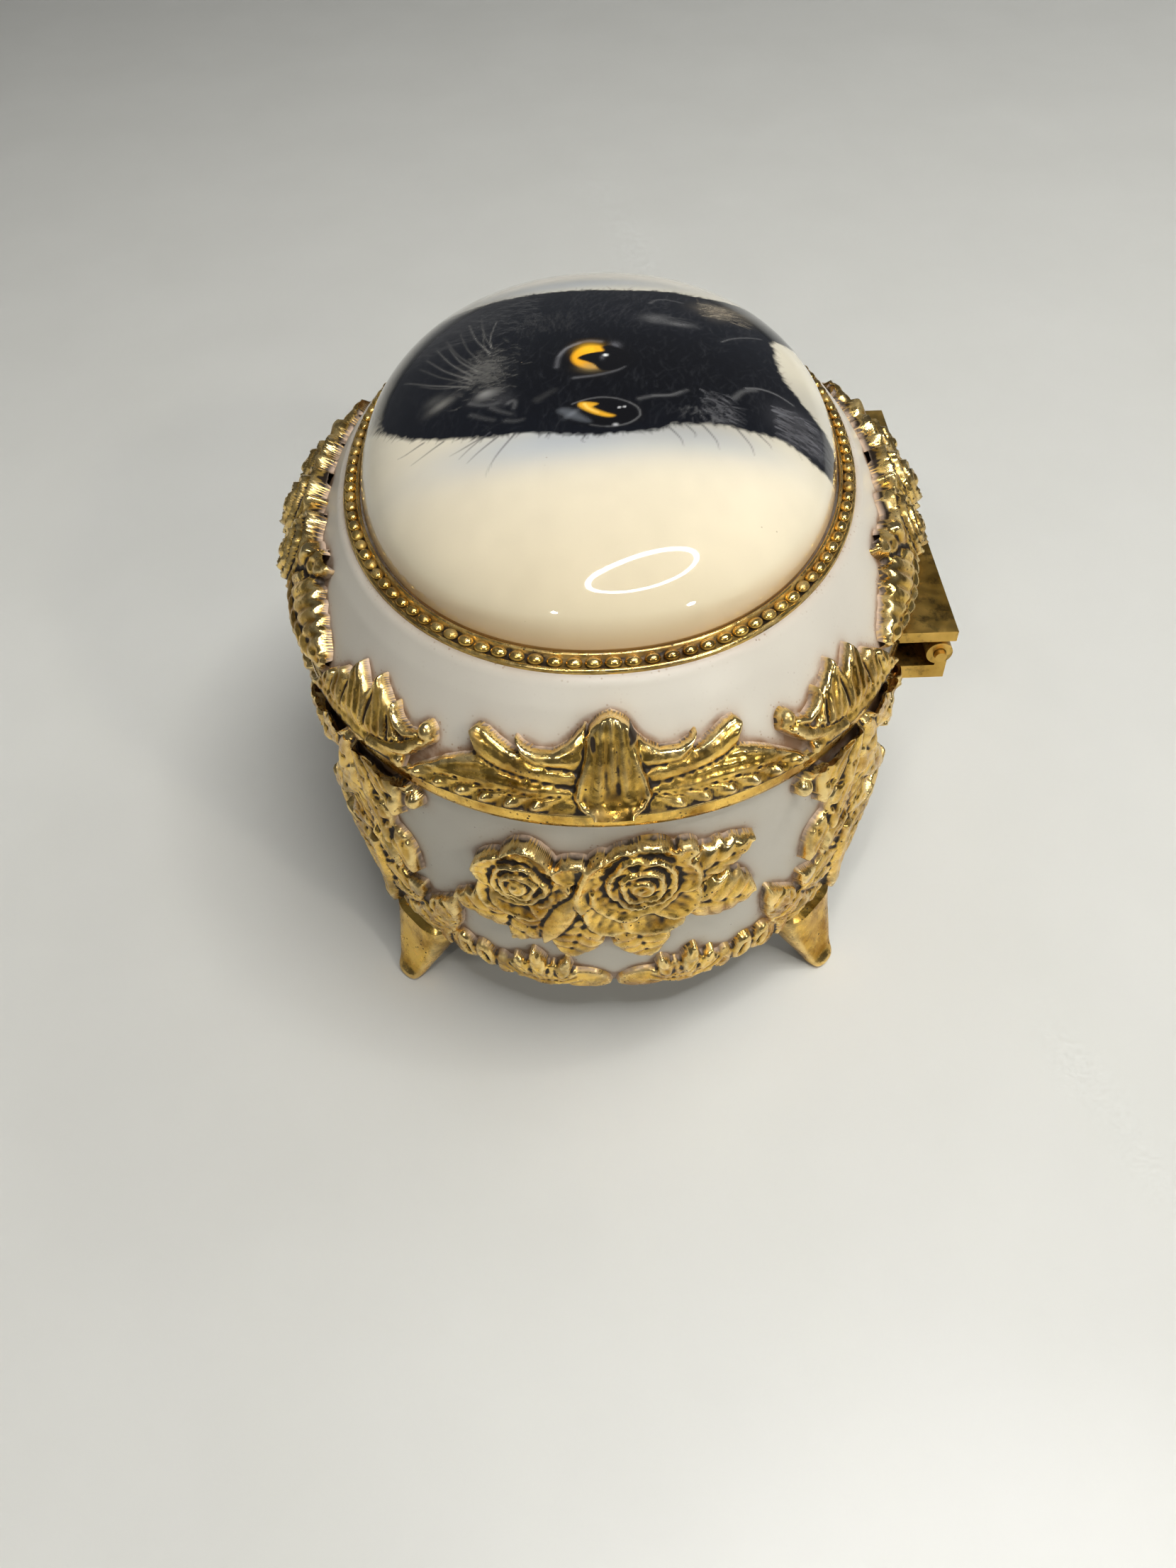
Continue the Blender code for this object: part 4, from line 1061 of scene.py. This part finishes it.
def fur(art, head_mask):
    """Tufts, glints on the coat, and hairs that break the head's outline."""
    rng = np.random.default_rng(11)

    def tuft(low, high, way, spread, length, colours, count, width=0.16, strength=0.5):
        for _ in range(count):
            x, y = rng.uniform(low, high)
            turn = way + rng.normal(0, spread)
            run = length * rng.uniform(0.6, 1.3)
            bend = rng.normal(0, 0.25)
            a = np.array((x, y))
            b = a + run * 0.5 * np.array((math.cos(turn), math.sin(turn)))
            c = b + run * 0.5 * np.array((math.cos(turn + bend), math.sin(turn + bend)))
            i, j = (int(v) for v in art.steps(x, y))
            if head_mask[i, j] > 0.6:
                wide, colour = width * rng.uniform(0.7, 1.3), colours[rng.integers(len(colours))]
                art.stroke([a, b, c], wide, colour, strength, 0.8)

    dim = [(0.008, 0.009, 0.012), (0.014, 0.015, 0.018), (0.002, 0.002, 0.003), (0.024, 0.025, 0.028)]
    tuft((-18, -27), (17, 24), 3.0, 0.5, 1.9, dim, 2600, 0.13, 0.35)
    tuft((-18, -26), (-6, -6), -1.9, 0.35, 2.6, [(0.07, 0.07, 0.07), (0.05, 0.05, 0.05)], 420, 0.11, 0.4)
    tuft((-8.8, -9.5), (-3.4, -2.5), 3.1, 0.12, 1.9, [(0.05, 0.05, 0.05), (0.03, 0.03, 0.03)], 90, 0.08, 0.4)
    art.blob((-7.4, 7.8), (1.2, 1.6), (0.10, 0.10, 0.10), strength=0.8)
    art.blob((-6.4, 10.6), (0.6, 1.6), (0.12, 0.12, 0.12), strength=0.8)
    tuft((-8.6, 6.6), (-6.0, 12.5), 1.4, 0.4, 1.2, [(0.09, 0.09, 0.09), (0.05, 0.05, 0.05)], 90, 0.08, 0.4)
    art.blob((-13.6, 16.6), (1.0, 2.2), (0.22, 0.18, 0.13), turn=0.2, strength=0.8)
    tan = [(0.34, 0.29, 0.21), (0.20, 0.17, 0.12), BLACK, BLACK]
    tuft((-15.6, 13.6), (-10.5, 19), 2.2, 0.45, 2.4, tan, 190, 0.1, 0.55)
    grey = [(0.13, 0.13, 0.14), (0.075, 0.075, 0.08), BLACK]
    tuft((8, 20.5), (14, 27), 1.5, 0.25, 2.4, grey, 260, 0.12, 0.55)
    tuft((8.5, 12), (14, 16), 1.1, 0.4, 1.4, [(0.10, 0.10, 0.105)], 90, 0.12, 0.45)
    tuft((11.2, 9.5), (14.2, 14.5), -0.2, 0.4, 1.5, [(0.10, 0.10, 0.10), (0.06, 0.06, 0.06)], 24, 0.08, 0.5)
    tuft((-16, -3), (-4, 20), 2.9, 0.25, 2.4, [(0.03, 0.03, 0.034), (0.04, 0.04, 0.044)], 260, 0.09, 0.35)
    for line, width, tone, soft in [
        ([(-12.4, 7.4), (-13.8, 8.2), (-14.4, 9.6), (-14.0, 11.6)], 0.25, 0.09, 0.3),
        ([(6.4, 17.8), (5.6, 19.6), (5.5, 21.6), (6.2, 23.6)], 0.12, 0.17, 0.25),
        ([(-3.6, 15.8), (-5.4, 17.4), (-7.2, 19.6), (-8.4, 21.4)], 0.12, 0.11, 0.2),
        ([(11.6, 5.0), (10.9, 6.8), (10.5, 8.8), (9.2, 10.6)], 0.35, 0.07, 0.35),
        ([(10.9, 6.6), (10.5, 8.6), (9.6, 9.9)], 0.12, 0.11, 0.2),
        ([(9.0, 16.2), (7.2, 17.4), (6.2, 19.0)], 0.5, 0.08, 0.4),
    ]:
        art.stroke(spline(line, False), width, (tone, tone, tone), 0.85, 0.3, soft)
    # Hairs that break the outline
    edge = [
        ((15.0, -12), (18, -15.5)), ((16, -11), (19, -14.5)), ((16, -9), (21.4, -12.3)),
        ((13, -20), (13.4, -23.2)), ((14.2, -17.5), (15.8, -21.4)), ((16, 8), (19, 9.6)),
        ((15.2, 12), (18.7, 13.6)), ((14.8, 16), (18.3, 17.6)), ((15.4, 10), (17.4, 11.0)),
        ((14.6, 18.4), (16.4, 19.8)), ((15.6, -13), (17.0, -16.6)), ((17.4, -1), (18.8, -1.2)),
    ]
    for a, b in edge:
        middle = ((a[0] + b[0]) / 2 + 0.3, (a[1] + b[1]) / 2 + 0.5 * math.copysign(1, b[1]))
        art.stroke(spline([a, middle, b], False), 0.2, (0.05, 0.05, 0.055), 0.8, 0.9)
    outline = np.argwhere((head_mask > 0.45) & (head_mask < 0.6))
    for i, j in outline[rng.choice(len(outline), 900)]:
        x, y = i / art.k - art.half_x, j / art.k - art.half_y
        if y < -21 and x < 4:
            continue
        turn = math.atan2(y, x + 1.0) + rng.normal(0, 0.5)
        run = rng.uniform(0.3, 0.9)
        art.stroke([(x, y), (x + run * math.cos(turn), y + run * math.sin(turn))], 0.14, INK, 0.6, 0.9)


def ring(at, radii, turn=0.0, count=40):
    """Outline of a turned oval."""
    way = np.linspace(0, TAU, count)
    c, s = math.cos(turn), math.sin(turn)
    x, y = radii[0] * np.cos(way), radii[1] * np.sin(way)
    return np.stack([at[0] + x * c - y * s, at[1] + x * s + y * c], -1)


def eyes(art):
    """Amber eyes: a round far one with a dark pupil, and the part of the near one that shows."""
    night = (0.003, 0.003, 0.004)
    # Far eye
    art.fill(ring((3.2, 0.2), (4.3, 4.6), 0.1), night, soft=0.9)
    for line, width, colour, strength, taper, soft in [
        (
            [(-0.3, 0.9), (-0.5, -1.0), (0.6, -3.0), (2.6, -4.1), (4.8, -4.4)], 0.4, (0.13, 0.13, 0.14),
            0.75, 0.3, 0.4,
        ),
        ([(-0.2, -1.6), (0.8, -3.2), (2.4, -4.2)], 0.2, (0.28, 0.28, 0.29), 0.45, 0.5, 0.2),
        ([(7.4, -2.4), (7.1, 0.2), (6.3, 2.4), (5.4, 3.5)], 0.25, (0.11, 0.11, 0.115), 0.8, 0.4, 0.3),
    ]:
        art.stroke(spline(line, False), width, colour, strength, taper, soft)
    art.blob((0.6, 2.6), (0.8, 0.6), (0.10, 0.10, 0.11), strength=0.8)
    art.fill(ring((3.15, -0.05), (2.75, 2.75), count=48), (0.20, 0.085, 0.006), soft=0.14)
    art.fill(ring((3.15, -0.08), (2.45, 2.5), count=48), (0.78, 0.37, 0.012), soft=0.22)
    art.blob((1.5, -0.5), (1.3, 1.3), (0.92, 0.50, 0.02), strength=0.9)
    art.blob((5.2, -0.2), (0.9, 1.3), (0.34, 0.24, 0.09), strength=0.8)
    for way in np.linspace(0.3, TAU + 0.3, 46):
        inner = (3.15 + 1.2 * math.cos(way), -0.05 + 1.2 * math.sin(way))
        outer = (3.15 + 2.4 * math.cos(way), -0.05 + 2.4 * math.sin(way))
        art.stroke([inner, outer], 0.07, (0.45, 0.17, 0.01), 0.28, 0.3, 0.06)
    pupil = [
        (2.0, 1.5), (2.1, 0.6), (2.35, -0.5), (2.75, -1.4), (3.25, -1.9), (3.7, -1.6), (4.2, -0.8),
        (4.9, 0.0), (5.9, 0.6), (6.2, 1.6), (5.4, 3.4), (3.4, 4.0), (1.4, 3.2), (1.2, 2.0),
    ]
    art.fill(spline(pupil), night, soft=0.1)
    lid = [(0.9, 1.0), (1.8, 1.15), (2.6, 1.0), (3.0, 2.6), (1.4, 3.0), (0.6, 2.0)]
    art.fill(spline(lid), night, soft=0.2)
    art.blob((2.9, 1.4), (0.3, 0.3), (0.80, 0.82, 0.80), power=4)
    art.blob((3.4, 1.0), (0.5, 0.25), (0.10, 0.10, 0.11), strength=0.6)
    # Near eye
    art.fill(ring((13.8, 0.9), (2.6, 4.8), -0.08), night, soft=0.45)
    wedge = [
        (12.9, -3.9), (13.5, -4.2), (14.6, -3.0), (15.3, -1.6), (15.5, -0.6), (14.8, -1.1), (13.9, -2.0),
        (13.1, -2.9),
    ]
    art.fill(spline(wedge), (0.07, 0.076, 0.085), soft=0.35, strength=0.95)
    art.blob((14.0, -2.7), (0.35, 0.9), (0.15, 0.16, 0.175), turn=0.7, strength=0.6)
    iris = [
        (12.1, -1.7), (12.2, -0.5), (12.5, 0.3), (13.0, -0.3), (13.5, 0.2), (14.1, 1.2), (14.6, 2.2),
        (14.8, 1.4), (14.3, 0.0), (13.5, -1.2), (12.7, -1.9),
    ]
    art.fill(spline(iris), (0.62, 0.32, 0.02), soft=0.14)
    glint = [(12.45, -1.2), (13.2, -0.8), (14.0, 0.3)]
    art.stroke(spline(glint, False), 0.3, (0.85, 0.58, 0.14), 0.8, 0.5, 0.12)
    for line, width, tone in [
        ([(12.3, -2.6), (11.7, -1.2), (11.35, 0.6), (11.6, 2.4), (12.3, 3.9)], 0.1, 0.13),
        ([(12.3, 3.9), (13.2, 4.8), (14.4, 5.0), (15.2, 4.5)], 0.12, 0.12),
        ([(15.3, 4.4), (15.9, 3.6), (16.3, 2.4), (16.4, 1.2)], 0.15, 0.10),
        ([(16.0, -0.6), (16.3, 0.4), (16.35, 1.4)], 0.12, 0.07),
    ]:
        art.stroke(spline(line, False), width, (tone, tone, tone), 0.85, 0.2, 0.13)
    for at in [(13.2, 2.7), (13.1, 3.3)]:
        art.blob(at, (0.16, 0.13), (0.7, 0.7, 0.7), power=4)
    art.blob((16.1, 2.2), (0.22, 0.3), (0.45, 0.45, 0.45), strength=0.8, power=3)


def muzzle(art):
    """Nose, mouth and chin, with short pale hairs on the whisker pad."""
    rng = np.random.default_rng(31)
    art.blob((7.9, -12.5), (0.9, 1.5), (0.15, 0.147, 0.14), turn=0.3, strength=0.9)
    art.blob((7.5, -12.9), (0.5, 0.8), (0.26, 0.255, 0.24), turn=0.3, strength=0.6)
    art.blob((9.6, -11.0), (1.1, 1.4), (0.035, 0.035, 0.037), strength=0.8)
    for line, width, tone in [
        ([(8.7, -14.6), (9.6, -13.4), (10.0, -12.2), (10.05, -11.2)], 0.3, 0.10),
        ([(10.5, -10.0), (10.2, -9.5), (10.6, -9.2), (11.6, -9.3)], 0.28, 0.12),
        ([(10.6, -12.0), (11.6, -11.0), (12.6, -9.6)], 0.36, 0.07),
        ([(11.0, -14.4), (12.2, -12.9), (13.0, -11.6)], 0.36, 0.06),
        ([(13.6, -10.2), (14.0, -9.0), (13.9, -8.2)], 0.3, 0.06),
        ([(10.8, -6.6), (9.4, -4.6)], 0.9, 0.025),
    ]:
        art.stroke(spline(line, False), width, (tone, tone, tone), 0.8, 0.4, 0.42)
    art.blob((7.0, -18.2), (0.8, 1.6), (0.15, 0.145, 0.13), turn=0.5, strength=0.9)
    art.blob((5.6, -19.2), (0.9, 1.2), (0.07, 0.07, 0.065), turn=0.5, strength=0.7)
    art.blob((2.4, -13.0), (3.0, 2.4), (0.045, 0.045, 0.045), strength=0.6)
    for _ in range(420):
        x, y = rng.normal((2.4, -12.8), (2.4, 1.5))
        run = rng.uniform(0.4, 1.3)
        turn = -1.9 + rng.normal(0, 0.4)
        tip = (x + run * math.cos(turn), y + run * math.sin(turn))
        art.stroke([(x, y), tip], 0.08, (0.14, 0.135, 0.12), 0.4, 0.8, 0.08)


def whiskers(art):
    """Long pale hairs that fan out from the whisker pad."""
    fan = [
        ((5.2, -15.0), (-2.6, -23.8)), ((4.6, -14.8), (-4.4, -22.0)), ((4.0, -14.6), (-6.0, -21.2)),
        ((4.8, -15.4), (0.6, -21.4)), ((3.0, -14.6), (-7.8, -20.0)), ((1.2, -14.2), (-9.4, -18.8)),
        ((-1.4, -12.6), (-12.2, -16.0)), ((-2.6, -12.4), (-13.2, -14.4)), ((2.2, -14.0), (-6.6, -18.2)),
        ((-0.6, -12.6), (-8.8, -13.8)), ((-3.0, -12.6), (-10.6, -12.2)), ((0.4, -13.6), (-10.0, -17.0)),
    ]
    for k, (a, b) in enumerate(fan):
        middle = ((a[0] + b[0]) / 2 + 0.5, (a[1] + b[1]) / 2 - 0.35)
        tone = 0.16 if k % 2 else 0.28
        art.stroke(spline([a, middle, b], False), 0.07, (tone, tone * 0.97, tone * 0.88), 0.7, 0.8, 0.09)


def porcelain_dome():
    """The cabochon with its glaze over the portrait, and its base edge."""
    face = np.concatenate([
        np.linspace(-1, -0.56, 26, endpoint=False), np.linspace(-0.56, 0.52, 254, endpoint=False),
        np.linspace(0.52, 1, 28),
    ])
    u, v = np.meshgrid(face, np.linspace(-1, 1, 322), indexing="ij")
    x, y = u * np.sqrt(1 - v**2 / 2), v * np.sqrt(1 - u**2 / 2)
    r = np.clip(np.hypot(x, y), 1e-9, None)
    angle = np.arctan2(y, x)
    # From the round disc to the oval's own plan, ring by ring
    ox = np.sign(x) * abs(np.cos(angle)) ** (2 / OVAL_POWER) * STONE_X * r
    oy = np.sign(y) * abs(np.sin(angle)) ** (2 / OVAL_POWER) * STONE_Y * r
    z = STONE_SPRING_Z + STONE_RISE * np.sqrt(np.clip(1 - np.clip(r, 0, 1) ** STONE_POWER, 0, 1))
    art = portrait()
    i, j = art.steps(ox, oy)
    i, j = np.clip(i, 0, len(art.x) - 2), np.clip(j, 0, len(art.y) - 2)
    i0, j0 = i.astype(int), j.astype(int)
    fi, fj = (i - i0)[..., None], (j - j0)[..., None]
    image = art.image
    paint = (image[i0, j0] * (1 - fi) + image[i0 + 1, j0] * fi) * (1 - fj)
    paint += (image[i0, j0 + 1] * (1 - fi) + image[i0 + 1, j0 + 1] * fi) * fj
    rim = np.clip((r - 0.965) / 0.035, 0, 1)[..., None] ** 2
    paint = paint * (1 - 0.6 * rim) + np.array(RIM_STAIN) * 0.6 * rim
    surface(
        "porcelain_portrait", listed(ox, oy, z), grid_quads(*x.shape)[:, ::-1], PORCELAIN, "lid",
        "cream_porcelain", ["porcelain_dome"], colours=paint.reshape(-1, 3),
    )
    x, y, z = swept([(10.5, 60.02), (10.5, 58.8), (10.7, 58.7), (13.5, 58.7)], even_angles(240))
    surface(
        "porcelain_edge", listed(x, y, z), grid_quads(*x.shape, False, True), PORCELAIN, "lid",
        "cream_porcelain", colours=np.tile(RIM_STAIN, (x.size, 1)),
    )


porcelain_dome()

# ---------------------------------------------------------------- lining


def floor_cushion():
    """Padded oval: flat where it is glued, softly crowned on the side that shows."""
    rings, around = 46, 160
    low, high, crown = 14.7, 16.3, 0.5
    r = np.linspace(0, 1, rings)[:, None]
    angle = np.linspace(0, TAU, around, endpoint=False)[None, :]
    x, y = np.broadcast_arrays(*oval((RIM_Y - 4.5) * r, angle))
    fold = np.clip(1 - r**2.6, 0, 1) ** 0.5
    top = high - crown * (1 - fold) + 0.06 * np.sin(7 * angle + 9 * r) * r
    flat = np.full(x.shape, low)
    points = np.concatenate([np.stack([x, y, top], -1), np.stack([x, y, flat], -1)[::-1]])
    quads = grid_quads(2 * rings, around, False, True)
    piece = surface(
        "floor_cushion", points.reshape(-1, 3), quads, VELVET, "base", "red_velvet", ["floor_pad"]
    )


floor_cushion()


def lid_cushion():
    """Padded oval under the dome, drawn in by buttons on the side that shows."""
    profile = smooth_levels([
        (8.1, 55.3), (5.9, 52.3), (4.3, 49.6), (4.5, 48.3), (7.0, 47.7), (12.0, 47.5), (20.0, 47.3),
        (30.0, 47.2), (40.4, 47.2),
    ], 40)
    back = [(40.4, 55.3), (20.0, 55.3)]
    x, y, z = swept(np.concatenate([back, profile]), np.linspace(0, TAU, 160, endpoint=False))
    z = z.copy()
    buttons = [(-18, -9), (0, -9), (18, -9), (-27, 6), (-9, 8), (9, 8), (27, 6)]
    dimple = sum(np.exp(-(((x - a) ** 2 + (y - b) ** 2) / 7.0)) for a, b in buttons)
    z[len(back):] += 1.3 * dimple[len(back):] * (z[len(back):] < 49)
    quads = grid_quads(*x.shape, False, True)
    piece = surface("lid_cushion", listed(x, y, z), quads, VELVET, "lid", "red_velvet", ["lid_pad"])


lid_cushion()


def wall_cloth():
    """Velvet stretched round the inside of the wall, with its edges turned in."""
    section = [
        (3.35, 14.8), (3.32, 30.0), (3.32, 45.6), (3.5, 46.0), (3.9, 46.0), (4.05, 45.7), (4.05, 30.0),
        (4.05, 14.8),
    ]
    x, y, z = swept(section, even_angles(360))
    quads = grid_quads(*x.shape, True, True)[:, ::-1]
    piece = surface("wall_velvet", listed(x, y, z), quads, VELVET, "base", "red_velvet", ["wall_lining"])


wall_cloth()

# ---------------------------------------------------------------- floor, lights, camera


def floor():
    """Pale, faintly glossy table top."""
    bpy.ops.mesh.primitive_plane_add(size=6.0, location=(0, 0, 0))
    plane = bpy.context.object
    plane.name = "studio_floor"
    look = Look("studio_floor", Roughness=0.32)
    tone = look.mix(look.noise(30, 3), (0.50, 0.50, 0.465), (0.55, 0.55, 0.515))
    plane.data.materials.append(look.set(Base_Color=tone))


def lamp(name, at, toward, size, power, colour, size_y=None):
    """Area lamp: a disc, or a rectangle if it has a second size."""
    data = bpy.data.lights.new(name, "AREA")
    data.shape = "RECTANGLE" if size_y else "DISK"
    data.size = size
    if size_y:
        data.size_y = size_y
    data.energy = power
    data.color = colour
    obj = bpy.data.objects.new(name, data)
    obj.location = at
    obj.rotation_euler = (Vector(toward) - Vector(at)).to_track_quat("-Z", "Y").to_euler()
    bpy.context.scene.collection.objects.link(obj)
    return obj


def lights():
    """Dim sky, three broad lamps that give no highlights, and two small ones that do."""
    world = bpy.data.worlds.new("studio")
    world.use_nodes = True
    sky = world.node_tree.nodes["Background"]
    sky.inputs["Color"].default_value = (0.84, 0.86, 0.90, 1)
    sky.inputs["Strength"].default_value = 0.10
    bpy.context.scene.world = world
    bpy.context.scene.view_settings.view_transform = "Standard"
    target = (0, 0, 0.03)
    soft = [
        lamp("overhead", (0.05, 0.22, 0.9), target, 0.6, 3.5, (1.0, 0.98, 0.95)),
        lamp("rear_side", (-0.45, 0.65, 0.6), target, 0.5, 2.7, (0.97, 0.98, 1.0), 0.4),
        lamp("front_fill", (0.8, 0.6, 0.42), target, 0.5, 1.9, (1.0, 0.98, 0.95)),
    ]
    for obj in soft:
        obj.visible_glossy = False
    lamp("spark_right", (0.55, 0.55, 0.5), target, 0.06, 1.4, (1.0, 0.96, 0.88))
    lamp("spark_left", (0.75, -0.35, 0.75), target, 0.05, 1.2, (1.0, 0.96, 0.88))


CAMERA_AT = Vector((131.19, 0.38, 140.05))
RIGHT, UP = Vector((0.01144, 0.99921, -0.03788)), Vector((-0.74240, 0.03386, 0.66910))
FORWARD = Vector((-0.66986, -0.02047, -0.74221))


def camera():
    data = bpy.data.cameras.new("camera")
    data.lens = 26.30
    data.sensor_width = 36.0
    data.clip_start = 0.005
    obj = bpy.data.objects.new("camera", data)
    turn = Matrix((RIGHT, UP, -FORWARD)).transposed().to_4x4()
    obj.matrix_world = Matrix.Translation(CAMERA_AT * MM) @ turn
    bpy.context.scene.collection.objects.link(obj)
    bpy.context.scene.camera = obj


def ring_light():
    """Glowing oval hoop, reflected near the end of the porcelain that faces the camera."""
    spot = Vector((35.1, 4.6, 0))
    rho = (abs(spot.x / STONE_X) ** OVAL_POWER + abs(spot.y / STONE_Y) ** OVAL_POWER) ** (1 / OVAL_POWER)
    fall = math.sqrt(1 - rho**STONE_POWER)
    spot.z = STONE_SPRING_Z + STONE_RISE * fall
    slope = STONE_RISE * 0.5 / fall * STONE_POWER * rho ** (STONE_POWER - 1)
    grow, power = rho ** (1 - OVAL_POWER), OVAL_POWER - 1
    gx = grow * spot.x**power / STONE_X**OVAL_POWER
    gy = grow * spot.y**power / STONE_Y**OVAL_POWER
    normal = Vector((slope * gx, slope * gy, 1)).normalized()
    seen = (spot - CAMERA_AT).normalized()
    bounce = seen - 2 * seen.dot(normal) * normal
    at = spot * MM + bounce * 0.55
    bm = bmesh.new()
    around, thick, long, short, turn = 96, 12, 0.191, 0.104, math.radians(159.5)
    rows = []
    for k in range(around):
        way = TAU * k / around
        row = []
        for m in range(thick):
            swell, rise = 0.009 * math.cos(TAU * m / thick), 0.009 * math.sin(TAU * m / thick)
            along, over = (long + swell) * math.cos(way), (short + swell) * math.sin(way)
            x = along * math.cos(turn) - over * math.sin(turn)
            row.append(bm.verts.new((x, along * math.sin(turn) + over * math.cos(turn), rise)))
        rows.append(row)
    for k in range(around):
        for m in range(thick):
            a, b = rows[k], rows[(k + 1) % around]
            bm.faces.new((a[m], b[m], b[(m + 1) % thick], a[(m + 1) % thick]))
    mesh = bpy.data.meshes.new("ring_light")
    bm.to_mesh(mesh)
    bm.free()
    glow = bpy.data.materials.new("ring_glow")
    glow.use_nodes = True
    shader = glow.node_tree.nodes["Principled BSDF"]
    shader.inputs["Emission Color"].default_value = (1, 1, 1, 1)
    shader.inputs["Emission Strength"].default_value = 48.0
    mesh.materials.append(glow)
    obj = bpy.data.objects.new("ring_light", mesh)
    obj.matrix_world = Matrix.Translation(at) @ bounce.to_track_quat("Z", "Y").to_matrix().to_4x4()
    obj.visible_camera = False
    bpy.context.scene.collection.objects.link(obj)


floor()
lights()
ring_light()
camera()
